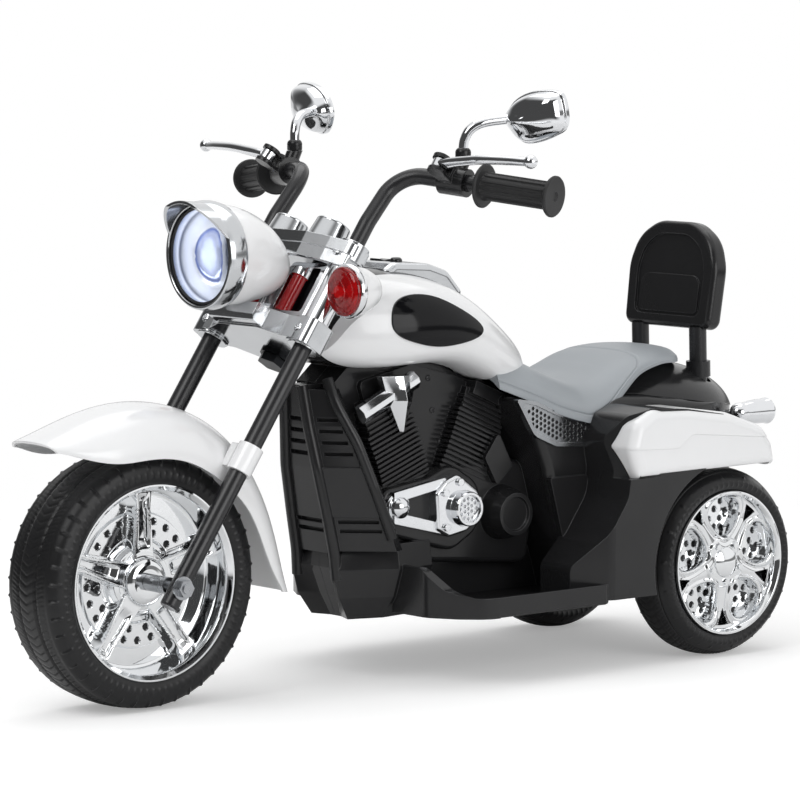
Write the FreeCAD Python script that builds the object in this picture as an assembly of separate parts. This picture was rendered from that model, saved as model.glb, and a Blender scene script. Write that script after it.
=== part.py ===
import FreeCAD
import Part
import math
import os

V = FreeCAD.Vector
os.makedirs("parts", exist_ok=True)

# Driving dimensions, in mm, measured from the ground under the rear axle
WHEELBASE = 633.0
FRONT_R = 120.0
FRONT_HALF = 39.5
FRONT_SEAT = 93.5
REAR_R = 95.0
REAR_HALF = 29.0
REAR_SEAT = 73.5
REAR_Y = 119.0
RAKE = 34.4
LEG_Y = 70.0
LEG_R = 9.0
STEM_BACK = 26.0
STEM_R = 10.0
LOWER_YOKE = 271.0
UPPER_YOKE = 358.0
BAR_R = 8.0
AXLE_R = 5.0
REAR_AXLE_R = 6.0
BODY_HALF = 84.0
WALL = 3.0
LAMP_Z = 419.0
BACK_LEAN = 8.0
GAP = 0.1
BOX_MIDDLE_X = 318.2

FRONT_AXLE = V(WHEELBASE, 0, FRONT_R)
FORK_FOOT = V(WHEELBASE - 3, 0, FRONT_R)
REAR_AXLE = V(0, 0, REAR_R)
X = V(1, 0, 0)
Y = V(0, 1, 0)
Z = V(0, 0, 1)


# Outlines and simple solids

def line(a, b):
    return Part.LineSegment(a, b).toShape()


def arc(a, m, b):
    return Part.Arc(a, m, b).toShape()


def rounded_wire(points, radius, closed=True):
    """Straight runs joined by tangent arcs; radius is one value or one a corner."""
    n = len(points)
    radii = radius if isinstance(radius, (list, tuple)) else [radius] * n
    corners = []
    for i, b in enumerate(points):
        if radii[i] == 0 or (not closed and i in (0, n - 1)):
            corners.append((b, b, b))
            continue
        u = points[i - 1] - b
        w = points[(i + 1) % n] - b
        reach = 0.48 * min(u.Length, w.Length)
        u.normalize()
        w.normalize()
        half = u.getAngle(w) / 2
        run = min(radii[i] / math.tan(half), reach)
        r = run * math.tan(half)
        m = u + w
        m.normalize()
        corners.append((b + u * run, b + m * (r / math.sin(half) - r), b + w * run))
    edges = []
    for i in range(n):
        p, q = corners[i], corners[(i + 1) % n]
        if (p[0] - p[2]).Length > 1e-6:
            edges.append(arc(*p))
        if (closed or i < n - 1) and (p[2] - q[0]).Length > 1e-6:
            edges.append(line(p[2], q[0]))
    return Part.Wire(edges)


def slab(points, y0, y1, radius=0):
    """Side outline of (x, z) points, carried from y0 to y1."""
    wire = rounded_wire([V(x, y0, z) for x, z in points], radius)
    return Part.Face(wire).extrude(V(0, y1 - y0, 0))


def plate(points, z0, z1, radius=0):
    """Plan outline of (x, y) points, carried from z0 to z1."""
    wire = rounded_wire([V(x, y, z0) for x, y in points], radius)
    return Part.Face(wire).extrude(V(0, 0, z1 - z0))


def wall(points, x0, x1, radius=0):
    """Front outline of (y, z) points, carried from x0 to x1."""
    wire = rounded_wire([V(x0, y, z) for y, z in points], radius)
    return Part.Face(wire).extrude(V(x1 - x0, 0, 0))


def box(x0, x1, y0, y1, z0, z1):
    return Part.makeBox(x1 - x0, y1 - y0, z1 - z0, V(x0, y0, z0))


def rod(a, b, r):
    return Part.makeCylinder(r, (b - a).Length, a, b - a)


def ring(a, b, outer, inner):
    return rod(a, b, outer).cut(rod(a, b, inner))


def turned(profile, centre, axis, out):
    """Profile of (along, radius) pairs, a pair of pairs being an arc, turned round the axis."""
    def at(pair):
        return centre + axis * pair[0] + out * pair[1]
    edges = []
    last = at(profile[0])
    for item in profile[1:] + profile[:1]:
        if isinstance(item[0], tuple):
            end = at(item[1])
            edges.append(arc(last, at(item[0]), end))
        else:
            end = at(item)
            if (end - last).Length > 1e-6:
                edges.append(line(last, end))
        last = end
    return Part.Face(Part.Wire(edges)).revolve(centre, axis, 360)


def cap(along, radius, height):
    """Round dome for a turned profile, from an edge to its tip on the axis."""
    ball = (radius ** 2 + height ** 2) / (2 * height)
    rise = height - ball + math.copysign(math.sqrt(ball ** 2 - radius ** 2 / 4), height)
    return (along + rise, radius / 2), (along + height, 0)


def tube(points, bend, r):
    """Round bar along straight runs joined by bends."""
    path = rounded_wire(points, bend, closed=False)
    circle = Part.makeCircle(r, points[0], points[1] - points[0])
    return path.makePipeShell([Part.Wire(circle)], True, False)


def ringed(shape, count, centre, axis):
    """Copies of a shape spread evenly round an axis."""
    copies = []
    for i in range(count):
        one = shape.copy()
        one.rotate(centre, axis, 360.0 * i / count)
        copies.append(one)
    return copies


def joined(first, *rest):
    return first.fuse(list(rest)).removeSplitter()


def softened(shape, radius, test):
    """Round the edges whose end points all pass the test."""
    edges = [e for e in shape.Edges if all(test(v.Point) for v in e.Vertexes)]
    return shape.makeFillet(radius, edges)


def biggest(shape):
    return max(shape.Solids, key=lambda s: s.Volume)


def mirrored(shape):
    return shape.mirror(V(0, 0, 0), Y)


def spline(points, closed=False):
    curve = Part.BSplineCurve()
    curve.interpolate(points, PeriodicFlag=closed)
    return curve.toShape()


# Places on the raked fork: along the legs from the axle, forward of them, and sideways

def on_fork(shape):
    """Set a shape drawn upright over the axle onto the raked fork."""
    shape = shape.copy()
    shape.rotate(V(0, 0, 0), Y, -RAKE)
    shape.translate(FORK_FOOT)
    return shape


def fork_point(along, forward=0.0, y=0.0):
    a = math.radians(RAKE)
    k = V(-math.sin(a), 0, math.cos(a))
    f = V(math.cos(a), 0, math.sin(a))
    return FORK_FOOT + k * along + f * forward + V(0, y, 0)


def stem_cylinder(r, s0, s1):
    """Upright cylinder on the steering axis, before raking."""
    return rod(V(-STEM_BACK, 0, s0), V(-STEM_BACK, 0, s1), r)


# Wheels

def tyre(centre, half, radius, seat, slots, crown, shoulder):
    """Tyre ring with two running grooves; crown and shoulder are (share of half width, drop)."""
    edge = seat + 7
    flat, flat_r = crown[0] * half, radius - crown[1]
    bend, bend_r = shoulder[0] * half, radius - shoulder[1]
    profile = [(-half + 6, seat - 3.5), (-half + 2, seat + 0.5), (-half, edge),
               ((-bend, bend_r), (-flat, flat_r)), ((0, radius), (flat, flat_r)),
               ((bend, bend_r), (half, edge)), (half - 2, seat + 0.5), (half - 6, seat - 3.5)]
    solid = turned(profile, centre, Y, Z)
    cuts = []
    for side in (-1, 1):
        a = side * 0.3 * half
        groove = [(a - 1.2, radius - 3), (a + 1.2, radius - 3), (a + 1.2, radius + 1), (a - 1.2, radius + 1)]
        cuts.append(turned(groove, centre, Y, Z))
        middle = centre + V(0, side * bend, bend_r + 2)
        slot = box(-1.2, 1.2, -0.17 * half, 0.17 * half, -3.5, 3.5)
        slot.rotate(V(0, 0, 0), Z, 24 * side)
        slot.rotate(V(0, 0, 0), X, -38 * side)
        slot.translate(middle)
        cuts += ringed(slot, slots, centre, Y)
    return solid.cut(cuts)


def star_spoke(centre, w0, w1, r0, r1, base, height, ridge):
    """One ridged spoke, tapering outward, drawn pointing up on the left side."""
    wires = []
    for w, r in ((w0, r0), (w1, r1)):
        shape = [(-w, base), (-w, height), (-0.35 * w, ridge), (0.35 * w, ridge), (w, height), (w, base)]
        points = [centre + V(t, a, r) for t, a in shape]
        wires.append(Part.makePolygon(points + points[:1]))
    return Part.makeLoft(wires, True, True)


def front_rim_cover():
    """Plated dish with five ridged spokes, a stepped hub and a drilled brake ring."""
    c = FRONT_AXLE
    dish = turned([(3.3, 14.3), (3.3, 86), (32, 89.2), (36.1, 92.9), (38, 92.2), (38, 90.4),
                   (33.4, 86.6), (6.5, 83.4), (5.3, 82), (5.3, 14.3)], c, Y, Z)
    hub = turned([(5, 14.3), (5, 35), (10, 34.5), ((15.5, 32.5), (17, 27.5)), (18, 24), (22, 23),
                  ((26.5, 19), (28, 12)), (28, 5.3), (20.3, 5.3), (20.3, 14.3)], c, Y, Z)
    brake = turned([(5, 40), (5, 64), (7.5, 64), (8.5, 63), (8.5, 41), (7.5, 40)], c, Y, Z)
    holes = []
    for r, turn in ((46, 24), (46, 48), (57, 20), (57, 36), (57, 52)):
        hole = rod(c + V(0, 6.5, r), c + V(0, 12, r), 3.4)
        hole.rotate(c, Y, turn)
        holes += ringed(hole, 5, c, Y)
    brake = brake.cut(holes)
    spoke = star_spoke(c, 14, 8.5, 27, 85.2, 5, 12, 20)
    bolt = rod(c + V(0, 17, 29), c + V(0, 21, 29), 2.6)
    bolt.rotate(c, Y, 36)
    return joined(dish, hub, brake, *(ringed(spoke, 5, c, Y) + ringed(bolt, 5, c, Y)))


def front_wheel():
    """Moulded tyre with its own web and hub, and a plated cover on each side."""
    c = FRONT_AXLE
    web = turned([(-3, 12), (3, 12), (3, FRONT_SEAT), (-3, FRONT_SEAT)], c, Y, Z)
    hub = ring(c - Y * 20, c + Y * 20, 14, AXLE_R + 0.05)
    web = web.cut(rod(c - Y * 5, c + Y * 5, 13))
    body = joined(tyre(c, FRONT_HALF, FRONT_R, FRONT_SEAT, 44, (0.66, 2), (0.92, 7)), web, hub)
    dish = turned([(3.3, 60), (3.3, 86), (32, 89.2), (36.1, 92.9), (45, 92.9), (45, 60)], c, Y, Z)
    cover = front_rim_cover()
    return body.cut([dish, mirrored(dish)]), cover, mirrored(cover)


def petal(c):
    """Wide rounded opening between two spokes, drawn pointing up and flaring outward."""
    right = [(0, 26), (9, 32), (17.5, 43), (18.5, 53), (10, 61.5)]
    shape = right + [(-x, z) for x, z in right[:0:-1]]
    wires = []
    for a, grow in ((11, 0.94), (24, 1.12)):
        points = [c + V(x * grow, a, 46 + (z - 46) * grow) for x, z in shape]
        wires.append(Part.Wire(spline(points, True)))
    return Part.makeLoft(wires, True, True)


def corner_window(c, r):
    """Small three-cornered opening at the rim, drawn pointing up."""
    points = [c + V(x, 0, z) for x, z in ((0, r - 12), (8, r + 6), (-8, r + 6))]
    return Part.Face(rounded_wire(points, 2.2)).extrude(V(0, 60, 0))


def rear_rim_cover():
    """Plated face with five petal openings over a drilled disc, hub dome and nuts."""
    c = V(0, REAR_Y, REAR_R)
    barrel = turned([(-14, 66.5), (-14, 69.5), (24, 69.7), (27.4, 72.6), (29.5, 72.2), (29.5, 70.2),
                     (24.5, 67), (-10, 66.5)], c, Y, Z)
    face = turned([(13, 8), (13, 68), (19, 68), (21, 64), (18, 50), (20, 26), (22, 24), (22, 8)], c, Y, Z)
    cuts = ringed(petal(c), 5, c, Y)
    small = corner_window(c, 57)
    small.rotate(c, Y, 36)
    face = face.cut(cuts + ringed(small, 5, c, Y))
    disc = turned([(3, 8), (3, 67.5), (6, 67.5), (6, 26), (14, 24), (14, 8)], c, Y, Z)
    holes = []
    for r, turn in ((34, 0), (43, 10), (43, -10), (52, 0), (52, 17), (52, -17)):
        hole = rod(c + V(0, 0, r), c + V(0, 10, r), 3.2)
        hole.rotate(c, Y, turn)
        holes += ringed(hole, 5, c, Y)
    disc = disc.cut(holes)
    dome = turned([(20, 8), (20, 15), (25, 14.5), cap(25, 14.5, 4.5), (24, 0), (24, 8)], c, Y, Z)
    nut = rod(c + V(0, 21, 20), c + V(0, 26, 20), 3.4)
    nut.rotate(c, Y, 36)
    return joined(barrel, face, disc, dome, *ringed(nut, 5, c, Y))


def rear_wheel():
    """Moulded tyre with an inner web and a hub, and its plated outer cover."""
    c = V(0, REAR_Y, REAR_R)
    web = turned([(-22, 12), (-16, 12), (-16, REAR_SEAT), (-22, REAR_SEAT)], c, Y, Z)
    hub = ring(c - Y * 26, c + Y * 12, 13, REAR_AXLE_R + 0.05)
    web = web.cut(rod(c - Y * 25, c + Y * 5, 12.5))
    ribs = [box(-1.5, 1.5, REAR_Y - 16.5, REAR_Y - 6, REAR_R + 12, REAR_R + 71)]
    ribs = ringed(ribs[0], 6, c, Y)
    cover = rear_rim_cover()
    room = rod(c, c + Y * 30, 8.05)
    body = joined(tyre(c, REAR_HALF, REAR_R, REAR_SEAT, 36, (0.4, 1), (0.76, 6.5)), web, hub, *ribs)
    barrel_room = turned([(-14.2, 0), (-14.2, 69.8), (24, 69.9), (29, 73), (40, 73), (40, 0)], c, Y, Z)
    keep = rod(c - Y * 30, c + Y * 2.8, 14)
    body = body.cut(barrel_room.cut(keep))
    return body.cut(room.cut(keep)), cover


# Fork, yokes and steering stem

def fork_leg():
    leg = rod(V(0, LEG_Y, -22), V(0, LEG_Y, UPPER_YOKE - GAP), LEG_R)
    leg = softened(leg, 2, lambda p: p.z < -21)
    leg = on_fork(leg)
    return leg.cut(rod(FRONT_AXLE, FRONT_AXLE + Y * 100, AXLE_R))


def yoke(outline, s0, s1, boss):
    """Cast plate with a boss at each leg and one round the stem."""
    solid = plate(outline, s0, s1, 9)
    for side in (-1, 1):
        solid = solid.fuse(rod(V(0, side * LEG_Y, s0 - 3), V(0, side * LEG_Y, s1 + 3), boss))
    solid = solid.fuse(stem_cylinder(17, s0, s1 + 2)).removeSplitter()
    return solid


def lower_yoke():
    half = [(-13, 84), (15, 84), (19, 54), (30, 30)]
    rear = [(-44, -14), (-44, 14), (-18, 54)]
    outline = half + [(x, -y) for x, y in half[::-1]] + [(-18, -54)] + rear
    solid = yoke(outline, LOWER_YOKE - 11, LOWER_YOKE + 11, 15.5)
    clamp = plate([(-15, 57), (17, 57), (17, 86.5), (-15, 86.5)], LOWER_YOKE - 13, LOWER_YOKE + 13, 8)
    solid = solid.fuse([clamp, mirrored(clamp)])
    block = slab([(20, LOWER_YOKE - 9), (40, LOWER_YOKE - 9), (44, LOWER_YOKE - 4), (44, LOWER_YOKE + 9),
                  (20, LOWER_YOKE + 9)], -34, 34, [0, 2, 2, 2, 0])
    post = [(34, LOWER_YOKE + 5), (44, LOWER_YOKE + 5), (54, LOWER_YOKE + 26), (48, LOWER_YOKE + 28)]
    solid = solid.fuse([block, slab(post, -11, 11, 1.5)])
    for side in (-1, 1):
        solid = solid.cut(rod(V(0, side * LEG_Y, 200), V(0, side * LEG_Y, 400), LEG_R))
    solid = solid.cut(stem_cylinder(STEM_R, 200, 400))
    return on_fork(solid.removeSplitter())


def upper_yoke():
    """Plated top casting with a front skirt and two round pods."""
    half = [(-12, 84), (12, 84), (22, 58), (29, 28)]
    rear = [(-44, -18), (-44, 18), (-20, 56)]
    outline = half + [(x, -y) for x, y in half[::-1]] + [(-20, -56)] + rear
    top = UPPER_YOKE + 10
    solid = yoke(outline, UPPER_YOKE - 2, top, 15)
    skirt_half = [(-10, 82), (11, 82), (21, 57), (28, 28)]
    inner_half = [(16, 56), (23, 27)]
    skirt = plate(skirt_half + [(x, -y) for x, y in skirt_half[::-1]]
                  + [(x, -y) for x, y in inner_half] + inner_half[::-1], UPPER_YOKE - 15, top, 3)
    solid = solid.fuse(skirt)
    for side in (-1, 1):
        pod = turned([(0, 0), (0, 19.5), (20, 17.5), ((22, 17), (22.5, 15)), (22.5, 13.5), (19, 12.5), (19, 0)],
                     V(6, side * 32, top - 1), Z, X)
        solid = solid.fuse(pod)
        solid = solid.cut(rod(V(0, side * LEG_Y, 300), V(0, side * LEG_Y, UPPER_YOKE), LEG_R))
        solid = solid.cut(rod(V(0, side * LEG_Y, UPPER_YOKE), V(0, side * LEG_Y, 420), BAR_R))
    solid = solid.cut(stem_cylinder(STEM_R, 300, 420))
    return on_fork(solid.removeSplitter())


def steering_stem():
    """Steel stem with a nut and washer below the lower yoke and a nut on top."""
    bottom, top = LOWER_YOKE - 14, UPPER_YOKE + 13
    parts = [stem_cylinder(STEM_R, bottom, top)]
    for s0, s1, flats in ((bottom - 8, bottom, 14), (top, top + 7, 14)):
        points = [V(-STEM_BACK + flats * math.cos(math.radians(60 * i)),
                    flats * math.sin(math.radians(60 * i)), s0) for i in range(6)]
        parts.append(Part.Face(Part.makePolygon(points + points[:1])).extrude(V(0, 0, s1 - s0)))
    parts.append(stem_cylinder(15, bottom, LOWER_YOKE - 11))
    parts.append(stem_cylinder(14, UPPER_YOKE + 12, top))
    return on_fork(joined(*parts))


def fork_shroud():
    """Plated leg sleeves joined to two window frames between the yokes."""
    s0, s1 = LOWER_YOKE + 14, UPPER_YOKE - 15.2
    parts = []
    for side in (-1, 1):
        parts.append(rod(V(0, side * LEG_Y, s0), V(0, side * LEG_Y, s1), 12.5))
        outer = [(side * 8, s0), (side * 62, s0), (side * 62, s1), (side * 8, s1)]
        inner = [(side * 12.5, s0 + 5), (side * 56, s0 + 5), (side * 56, s1 - 5), (side * 12.5, s1 - 5)]
        frame = wall(outer, 1, 12, [7, 0, 0, 7]).cut(wall(inner, 0, 14, 4))
        parts.append(frame)
    parts.append(box(3, 9, -9, 9, s0 + 12, s1 - 12))
    solid = joined(*parts)
    for side in (-1, 1):
        solid = solid.cut(rod(V(0, side * LEG_Y, 200), V(0, side * LEG_Y, 420), LEG_R))
    return on_fork(solid)


def damper_rods():
    """Two red rods with a collar at each end, inside the window frames."""
    s0, s1 = LOWER_YOKE + 19, UPPER_YOKE - 20.2
    rods = []
    for side in (-1, 1):
        foot = V(6, side * 21.5, s0)
        rods.append(turned([(0, 0), (0, 8), (4, 8), (5, 7), (s1 - s0 - 9, 7), (s1 - s0 - 8, 8.3),
                            (s1 - s0, 8.3), (s1 - s0, 0)], foot, Z, X))
    return on_fork(Part.makeCompound(rods))


def front_axle():
    """Through bolt with washers and nuts outside the legs and spacers inside them."""
    c = FRONT_AXLE
    parts = [rod(c - Y * 88, c + Y * 88, AXLE_R)]
    for side in (-1, 1):
        d = Y * side
        nut = [c + d * 80.5 + V(8.5 * math.cos(math.radians(60 * i)), 0, 8.5 * math.sin(math.radians(60 * i)))
               for i in range(6)]
        parts.append(Part.Face(Part.makePolygon(nut + nut[:1])).extrude(d * 6))
        parts.append(rod(c + d * 79, c + d * 80.5, 11))
        parts.append(rod(c + d * 28.4, c + d * 59, 8))
    return joined(*parts)


# Front fender: a thin arch carried round the axle, flared at both ends

def fender_section(turn, crown, half, edge, thick):
    """Closed arch outline standing on a radial plane."""
    a = math.radians(turn)
    out = V(math.cos(a), 0, math.sin(a))

    def at(y, r):
        return FRONT_AXLE + out * r + V(0, y, 0)
    rise = crown - edge
    shape = [(1.0, 0.0), (0.93, 0.42), (0.66, 0.82), (0.0, 1.0)]
    outer = [at(half * k, edge + rise * m) for k, m in shape]
    outer += [at(-half * k, edge + rise * m) for k, m in shape[-2::-1]]
    h2, r2 = half - thick, rise - thick
    inner = [at(h2 * k, edge + r2 * m) for k, m in shape]
    inner += [at(-h2 * k, edge + r2 * m) for k, m in shape[-2::-1]]
    return Part.Wire([spline(outer), line(outer[-1], inner[-1]), spline(inner[::-1]), line(inner[0], outer[0])])


def front_fender():
    stations = [(50, 179, 36, 168), (56, 173, 48, 147), (65, 168, 55, 129), (80, 166, 57, 120),
                (100, 166, 57, 116), (125, 160, 57, 112), (148, 152, 56, 114), (168, 151, 54, 118),
                (180, 155, 52, 128), (188, 161, 49, 143)]
    arch = Part.makeLoft([fender_section(t, c, h, e, WALL) for t, c, h, e in stations], True, False)
    parts = [arch]
    for side in (-1, 1):
        boss = rod(V(0, side * LEG_Y, 122), V(0, side * LEG_Y, 150), 12.2)
        lug = box(-16, 10, min(side * 53, side * 62), max(side * 53, side * 62), 124, 148)
        parts.append(on_fork(boss.fuse(lug)))
    solid = joined(*parts)
    for side in (-1, 1):
        solid = solid.cut(on_fork(rod(V(0, side * LEG_Y, 100), V(0, side * LEG_Y, 200), LEG_R)))
    return solid


# Headlamp and turn signals

def round_loft(stages):
    """Bullet of round stages along the lamp, each with its own radius and drop."""
    wires = [Part.Wire(Part.makeCircle(r, V(x, 0, LAMP_Z + drop), X)) for x, r, drop in stages]
    return Part.makeLoft(wires, True, False)


def headlamp():
    """Outer form, white bullet shell, peaked bezel, reflector with its lamp, and lens."""
    c = V(0, 0, LAMP_Z)
    stages = [(532, 48, 0), (514, 46.5, -1), (490, 40, -4.5), (468, 28, -9.5), (456, 15, -13), (453, 7, -14)]
    form = round_loft(stages)
    shell = form.cut(round_loft([(x + 2, r - WALL, dz) for x, r, dz in stages[:-1]]))
    bezel = turned([(532.2, 43), (532.2, 49.5), ((542, 52), (552, 51)), ((554, 49.5), (553, 47)), (549, 46.5),
                    (549, 44)], c, X, Z)
    peak = turned([(546, 50), (578, 53), (578, 50), (546, 47)], c, X, Z)
    keep = slab([(540, LAMP_Z + 24), (553, LAMP_Z + 18), (573, LAMP_Z + 46), (573, LAMP_Z + 80),
                 (540, LAMP_Z + 80)], -60, 60)
    bezel = joined(bezel, peak.common(keep))
    reflector = turned([(508, 0), (508, 12), ((520, 32), (547, 43.5)), (547, 41.5), ((523, 30), (512, 11)),
                        (512, 7), (524, 7), cap(524, 7, 6.9)], c, X, Z)
    lens = turned([(547.5, 0), (547.5, 43.8), (550, 43.8), cap(550, 43.8, 8.5)], c, X, Z)
    return form, shell, bezel, reflector, lens


def turn_signal():
    """White bullet on a short stalk, plated bezel and a domed lens stepped in rings."""
    c = V(0, 103, 387)
    housing = turned([(452, 0), (452, 23.5), ((442, 22.3), (432, 18)), cap(432, 18, -12)], c, X, Z)
    stalk_end = fork_point(316, 0, LEG_Y + 9)
    stalk = rod(stalk_end + V(0, 3.6, 0), V(442, 100, 387), 5)
    housing = joined(housing, stalk)
    bezel = turned([(452.1, 20), (452.1, 25), ((456, 26.3), (460, 25)), (460, 20)], c, X, Z)
    lens = turned([(454, 0), (454, 19.9), (460.1, 19.9), (460.1, 23.4), ((463.5, 22), (465, 18.5)), (466, 18.5),
                   ((468, 14), (468.6, 11)), (469.6, 11), cap(469.6, 11, 2)], c, X, Z)
    sleeve = on_fork(rod(V(0, LEG_Y, 260), V(0, LEG_Y, 375), 12.6))
    bezel = biggest(bezel.cut(sleeve))
    return biggest(housing.cut([sleeve, bezel, lens])), bezel, lens


# Handlebar, grips, perches, levers and mirrors

BAR_BEND = V(366, 70, 494)
BAR_END = V(312, 229, 476)


def bar_point(y):
    """Middle of the straight outer run of the left bar at a distance from the centre."""
    t = (y - BAR_BEND.y) / (BAR_END.y - BAR_BEND.y)
    return BAR_BEND + (BAR_END - BAR_BEND) * t


def bar_direction():
    d = BAR_END - BAR_BEND
    d.normalize()
    return d


def handlebar():
    foot = fork_point(UPPER_YOKE + GAP, 0, LEG_Y)
    rise = fork_point(398, 0, LEG_Y)
    return tube([foot, rise, BAR_BEND, BAR_END], 46, BAR_R)


def grip():
    """Sleeve with lengthwise ribs between two flanges, closed at the outer end."""
    d = bar_direction()
    up = V(0, 0, 1) - d * d.z
    up.normalize()
    start = bar_point(157)
    length = (bar_point(229) - start).Length
    profile = [(0, BAR_R + 0.05), (0, 20), (2, 21), (3.6, 20), (4.2, 12.4), (length - 1.4, 12.4), (length - 1, 19),
               (length + 0.8, 19.6), (length + 2.6, 18.6), (length + 3, 6), (length + 3, 0), (length + 0.5, 0),
               (length + 0.5, BAR_R + 0.05)]
    rib = rod(start + up * 12 + d * 6, start + up * 12 + d * (length - 4), 1.5)
    return joined(turned(profile, start, d, up), *ringed(rib, 12, start, d))


def hand_frame():
    """Lever direction, the way from grip to lever, and the pin direction square to both."""
    d = V(-17, 110, 2)
    d.normalize()
    to_lever = V(33, 0, 24)
    to_lever = to_lever - d * to_lever.dot(d)
    to_lever.normalize()
    return d, to_lever, d.cross(to_lever)


def lever_pivot():
    d, to_lever, pin = hand_frame()
    return bar_point(128) + to_lever * 27


def perch():
    """Clamp round the bar with a forked arm for the lever and a boss for the mirror."""
    d, to_lever, pin = hand_frame()
    c = bar_point(128)
    along = bar_direction()
    clamp = rod(c - along * 13, c + along * 15, 13.5)
    p = lever_pivot()
    arm = rod(c + to_lever * 4 - pin * 9, c + to_lever * 4 + pin * 9, 9)
    head = rod(p - pin * 9, p + pin * 9, 9)
    corners = [c + d * 7, c - d * 7, p - d * 7, p + d * 7]
    web = Part.Face(Part.makePolygon([q - pin * 8.4 for q in corners + corners[:1]])).extrude(pin * 16.8)
    base = mirror_base()
    boss = rod(c, base + (base - c) * 0.3, 7.5).cut(box(300, 380, 100, 160, base.z, base.z + 40))
    solid = joined(clamp, arm, head, web, boss)
    slot = rod(p - pin * 5.3, p + pin * 5.3, 13.5)
    reach = [p - d * 4 + to_lever * 12, p - d * 4 - to_lever * 8, p + d * 40 - to_lever * 24,
             p + d * 40 + to_lever * 12]
    slot = slot.fuse(Part.Face(Part.makePolygon([q - pin * 5.3 for q in reach + reach[:1]])).extrude(pin * 10.6))
    solid = solid.cut(slot)
    solid = joined(solid, rod(p - pin * 6, p + pin * 6, 3), rod(base - Z * 2, base + Z * 7, 3))
    return solid.cut(rod(c - along * 40, c + along * 40, BAR_R + 0.02))


def lever():
    """Flat tapering blade with a dog-leg, a pin eye and a ball end."""
    d, to_lever, pin = hand_frame()
    p = lever_pivot()

    def at(a, b):
        return p + d * a + to_lever * b
    outline = [at(-6, 5), at(6, 8), at(30, 9), at(60, 14), at(114, 11),
               at(114, 4), at(62, 6), at(32, 1), at(8, -6), at(-6, -5)]
    wire = rounded_wire([q - pin * 4 for q in outline], [3, 8, 20, 25, 2, 2, 25, 20, 6, 3])
    blade = Part.Face(wire).extrude(pin * 8)
    eye = rod(p - pin * 4.8, p + pin * 4.8, 7.5)
    ball = Part.makeSphere(6.5, at(117, 7.5))
    return joined(blade, eye, ball).cut(rod(p - pin * 10, p + pin * 10, 3.1))


def mirror_base():
    """Top of the boss that carries the mirror's pin."""
    return V(336, 128.5, 508)


MIRROR_MIDDLE = V(274, 168.5, 548)


def mirror_frame():
    """Outward, up and rearward directions of the left mirror head."""
    out = V(-0.2, 0.98, 0)
    out.normalize()
    back = V(-0.97, -0.137, 0.12)
    back = back - out * back.dot(out)
    back.normalize()
    return out, back.cross(out) * -1, back


def mirror_outline(scale, depth):
    out, up, back = mirror_frame()
    shape = [(-35, -9), (-31, 12), (-7, 25), (26, 27), (35, 16), (31, -13), (-14, -27)]
    points = [MIRROR_MIDDLE + out * (w * scale) + up * (h * scale) - back * depth for w, h in shape]
    return rounded_wire(points, [10 * scale, 10 * scale, 16 * scale, 9 * scale, 12 * scale, 14 * scale, 12 * scale])


def mirror():
    """Plated head with a domed back on a bent stem, and the glass in its rear face."""
    out, up, back = mirror_frame()
    stages = [(1.0, 0), (1.0, 5), (0.93, 11), (0.74, 17), (0.45, 21.5)]
    head = Part.makeLoft([mirror_outline(s, t) for s, t in stages], True, False)
    glass = Part.Face(mirror_outline(0.92, 0)).extrude(back * -1.8)
    head = head.cut(glass)
    base = mirror_base()
    foot = base + V(0, 0, 0.4)
    stem = tube([foot + V(0, 0, 6), V(333, 131, 532), MIRROR_MIDDLE - back * 12 - out * 20], 16, 4.5)
    knuckle = turned([(0, 0), (0, 7.5), (7, 7.5), ((10, 6.5), (11, 4)), (11, 0)], foot, Z, X)
    return joined(head, stem, knuckle).cut(rod(base, base + Z * 7.5, 3.05)), glass


# Tank: one swept form split into a black spine and white side panels

TANK = [(446, 36, 374, 326, 0.5), (430, 52, 388, 316, 0.5), (398, 70, 397, 308, 0.5), (355, 84, 399, 307, 0.46),
        (310, 88, 393, 308, 0.42), (268, 83, 378, 298, 0.4), (232, 74, 355, 284, 0.36), (206, 63, 335, 278, 0.34),
        (192, 52, 324, 277, 0.34)]


def tank_section(x, half, top, bottom, widest):
    h = top - bottom
    shape = [(0, 1), (0.46, 0.95), (0.82, 0.78), (1.0, widest), (0.9, 0.1), (0.6, 0.0)]
    right = [V(x, half * k, bottom + h * m) for k, m in shape]
    left = [V(x, -half * k, bottom + h * m) for k, m in shape[:0:-1]]
    return Part.Wire(spline(right + [V(x, 0, bottom)] + left, True))


def steering_room():
    """Space in front of the tank that the yokes and sleeves sweep as the fork turns."""
    side = [(-44, 220), (-44, 312), (-58, 346), (-58, 460), (160, 460), (160, 220)]
    room = slab(side, -130, 130, [0, 60, 60, 0, 0, 0])
    return on_fork(room.fuse(box(-55, 160, -34, 34, 220, 296)))


def tank():
    """Whole form, its black spine, the left white panel and the left teardrop inlay."""
    whole = Part.makeLoft([tank_section(*s) for s in TANK], True, False).cut(steering_room())
    flank = plate([(480, 37), (272, 37), (244, 12), (180, 5), (180, 130), (480, 130)], 240, 430,
                  [0, 30, 20, 0, 0, 0])
    left = whole.common(flank)
    spine = whole.cut([flank, mirrored(flank)])
    shifted = whole.copy()
    shifted.translate(V(0, 2.2, 0))
    drop = [(381, 353), (372, 371), (340, 377), (300, 362), (272, 340), (306, 328), (358, 332)]
    wire = Part.Wire(spline([V(x, 50, z) for x, z in drop], True))
    inlay = shifted.common(Part.Face(wire).extrude(V(0, 70, 0))).cut(whole)
    return whole, spine, left, inlay


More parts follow.
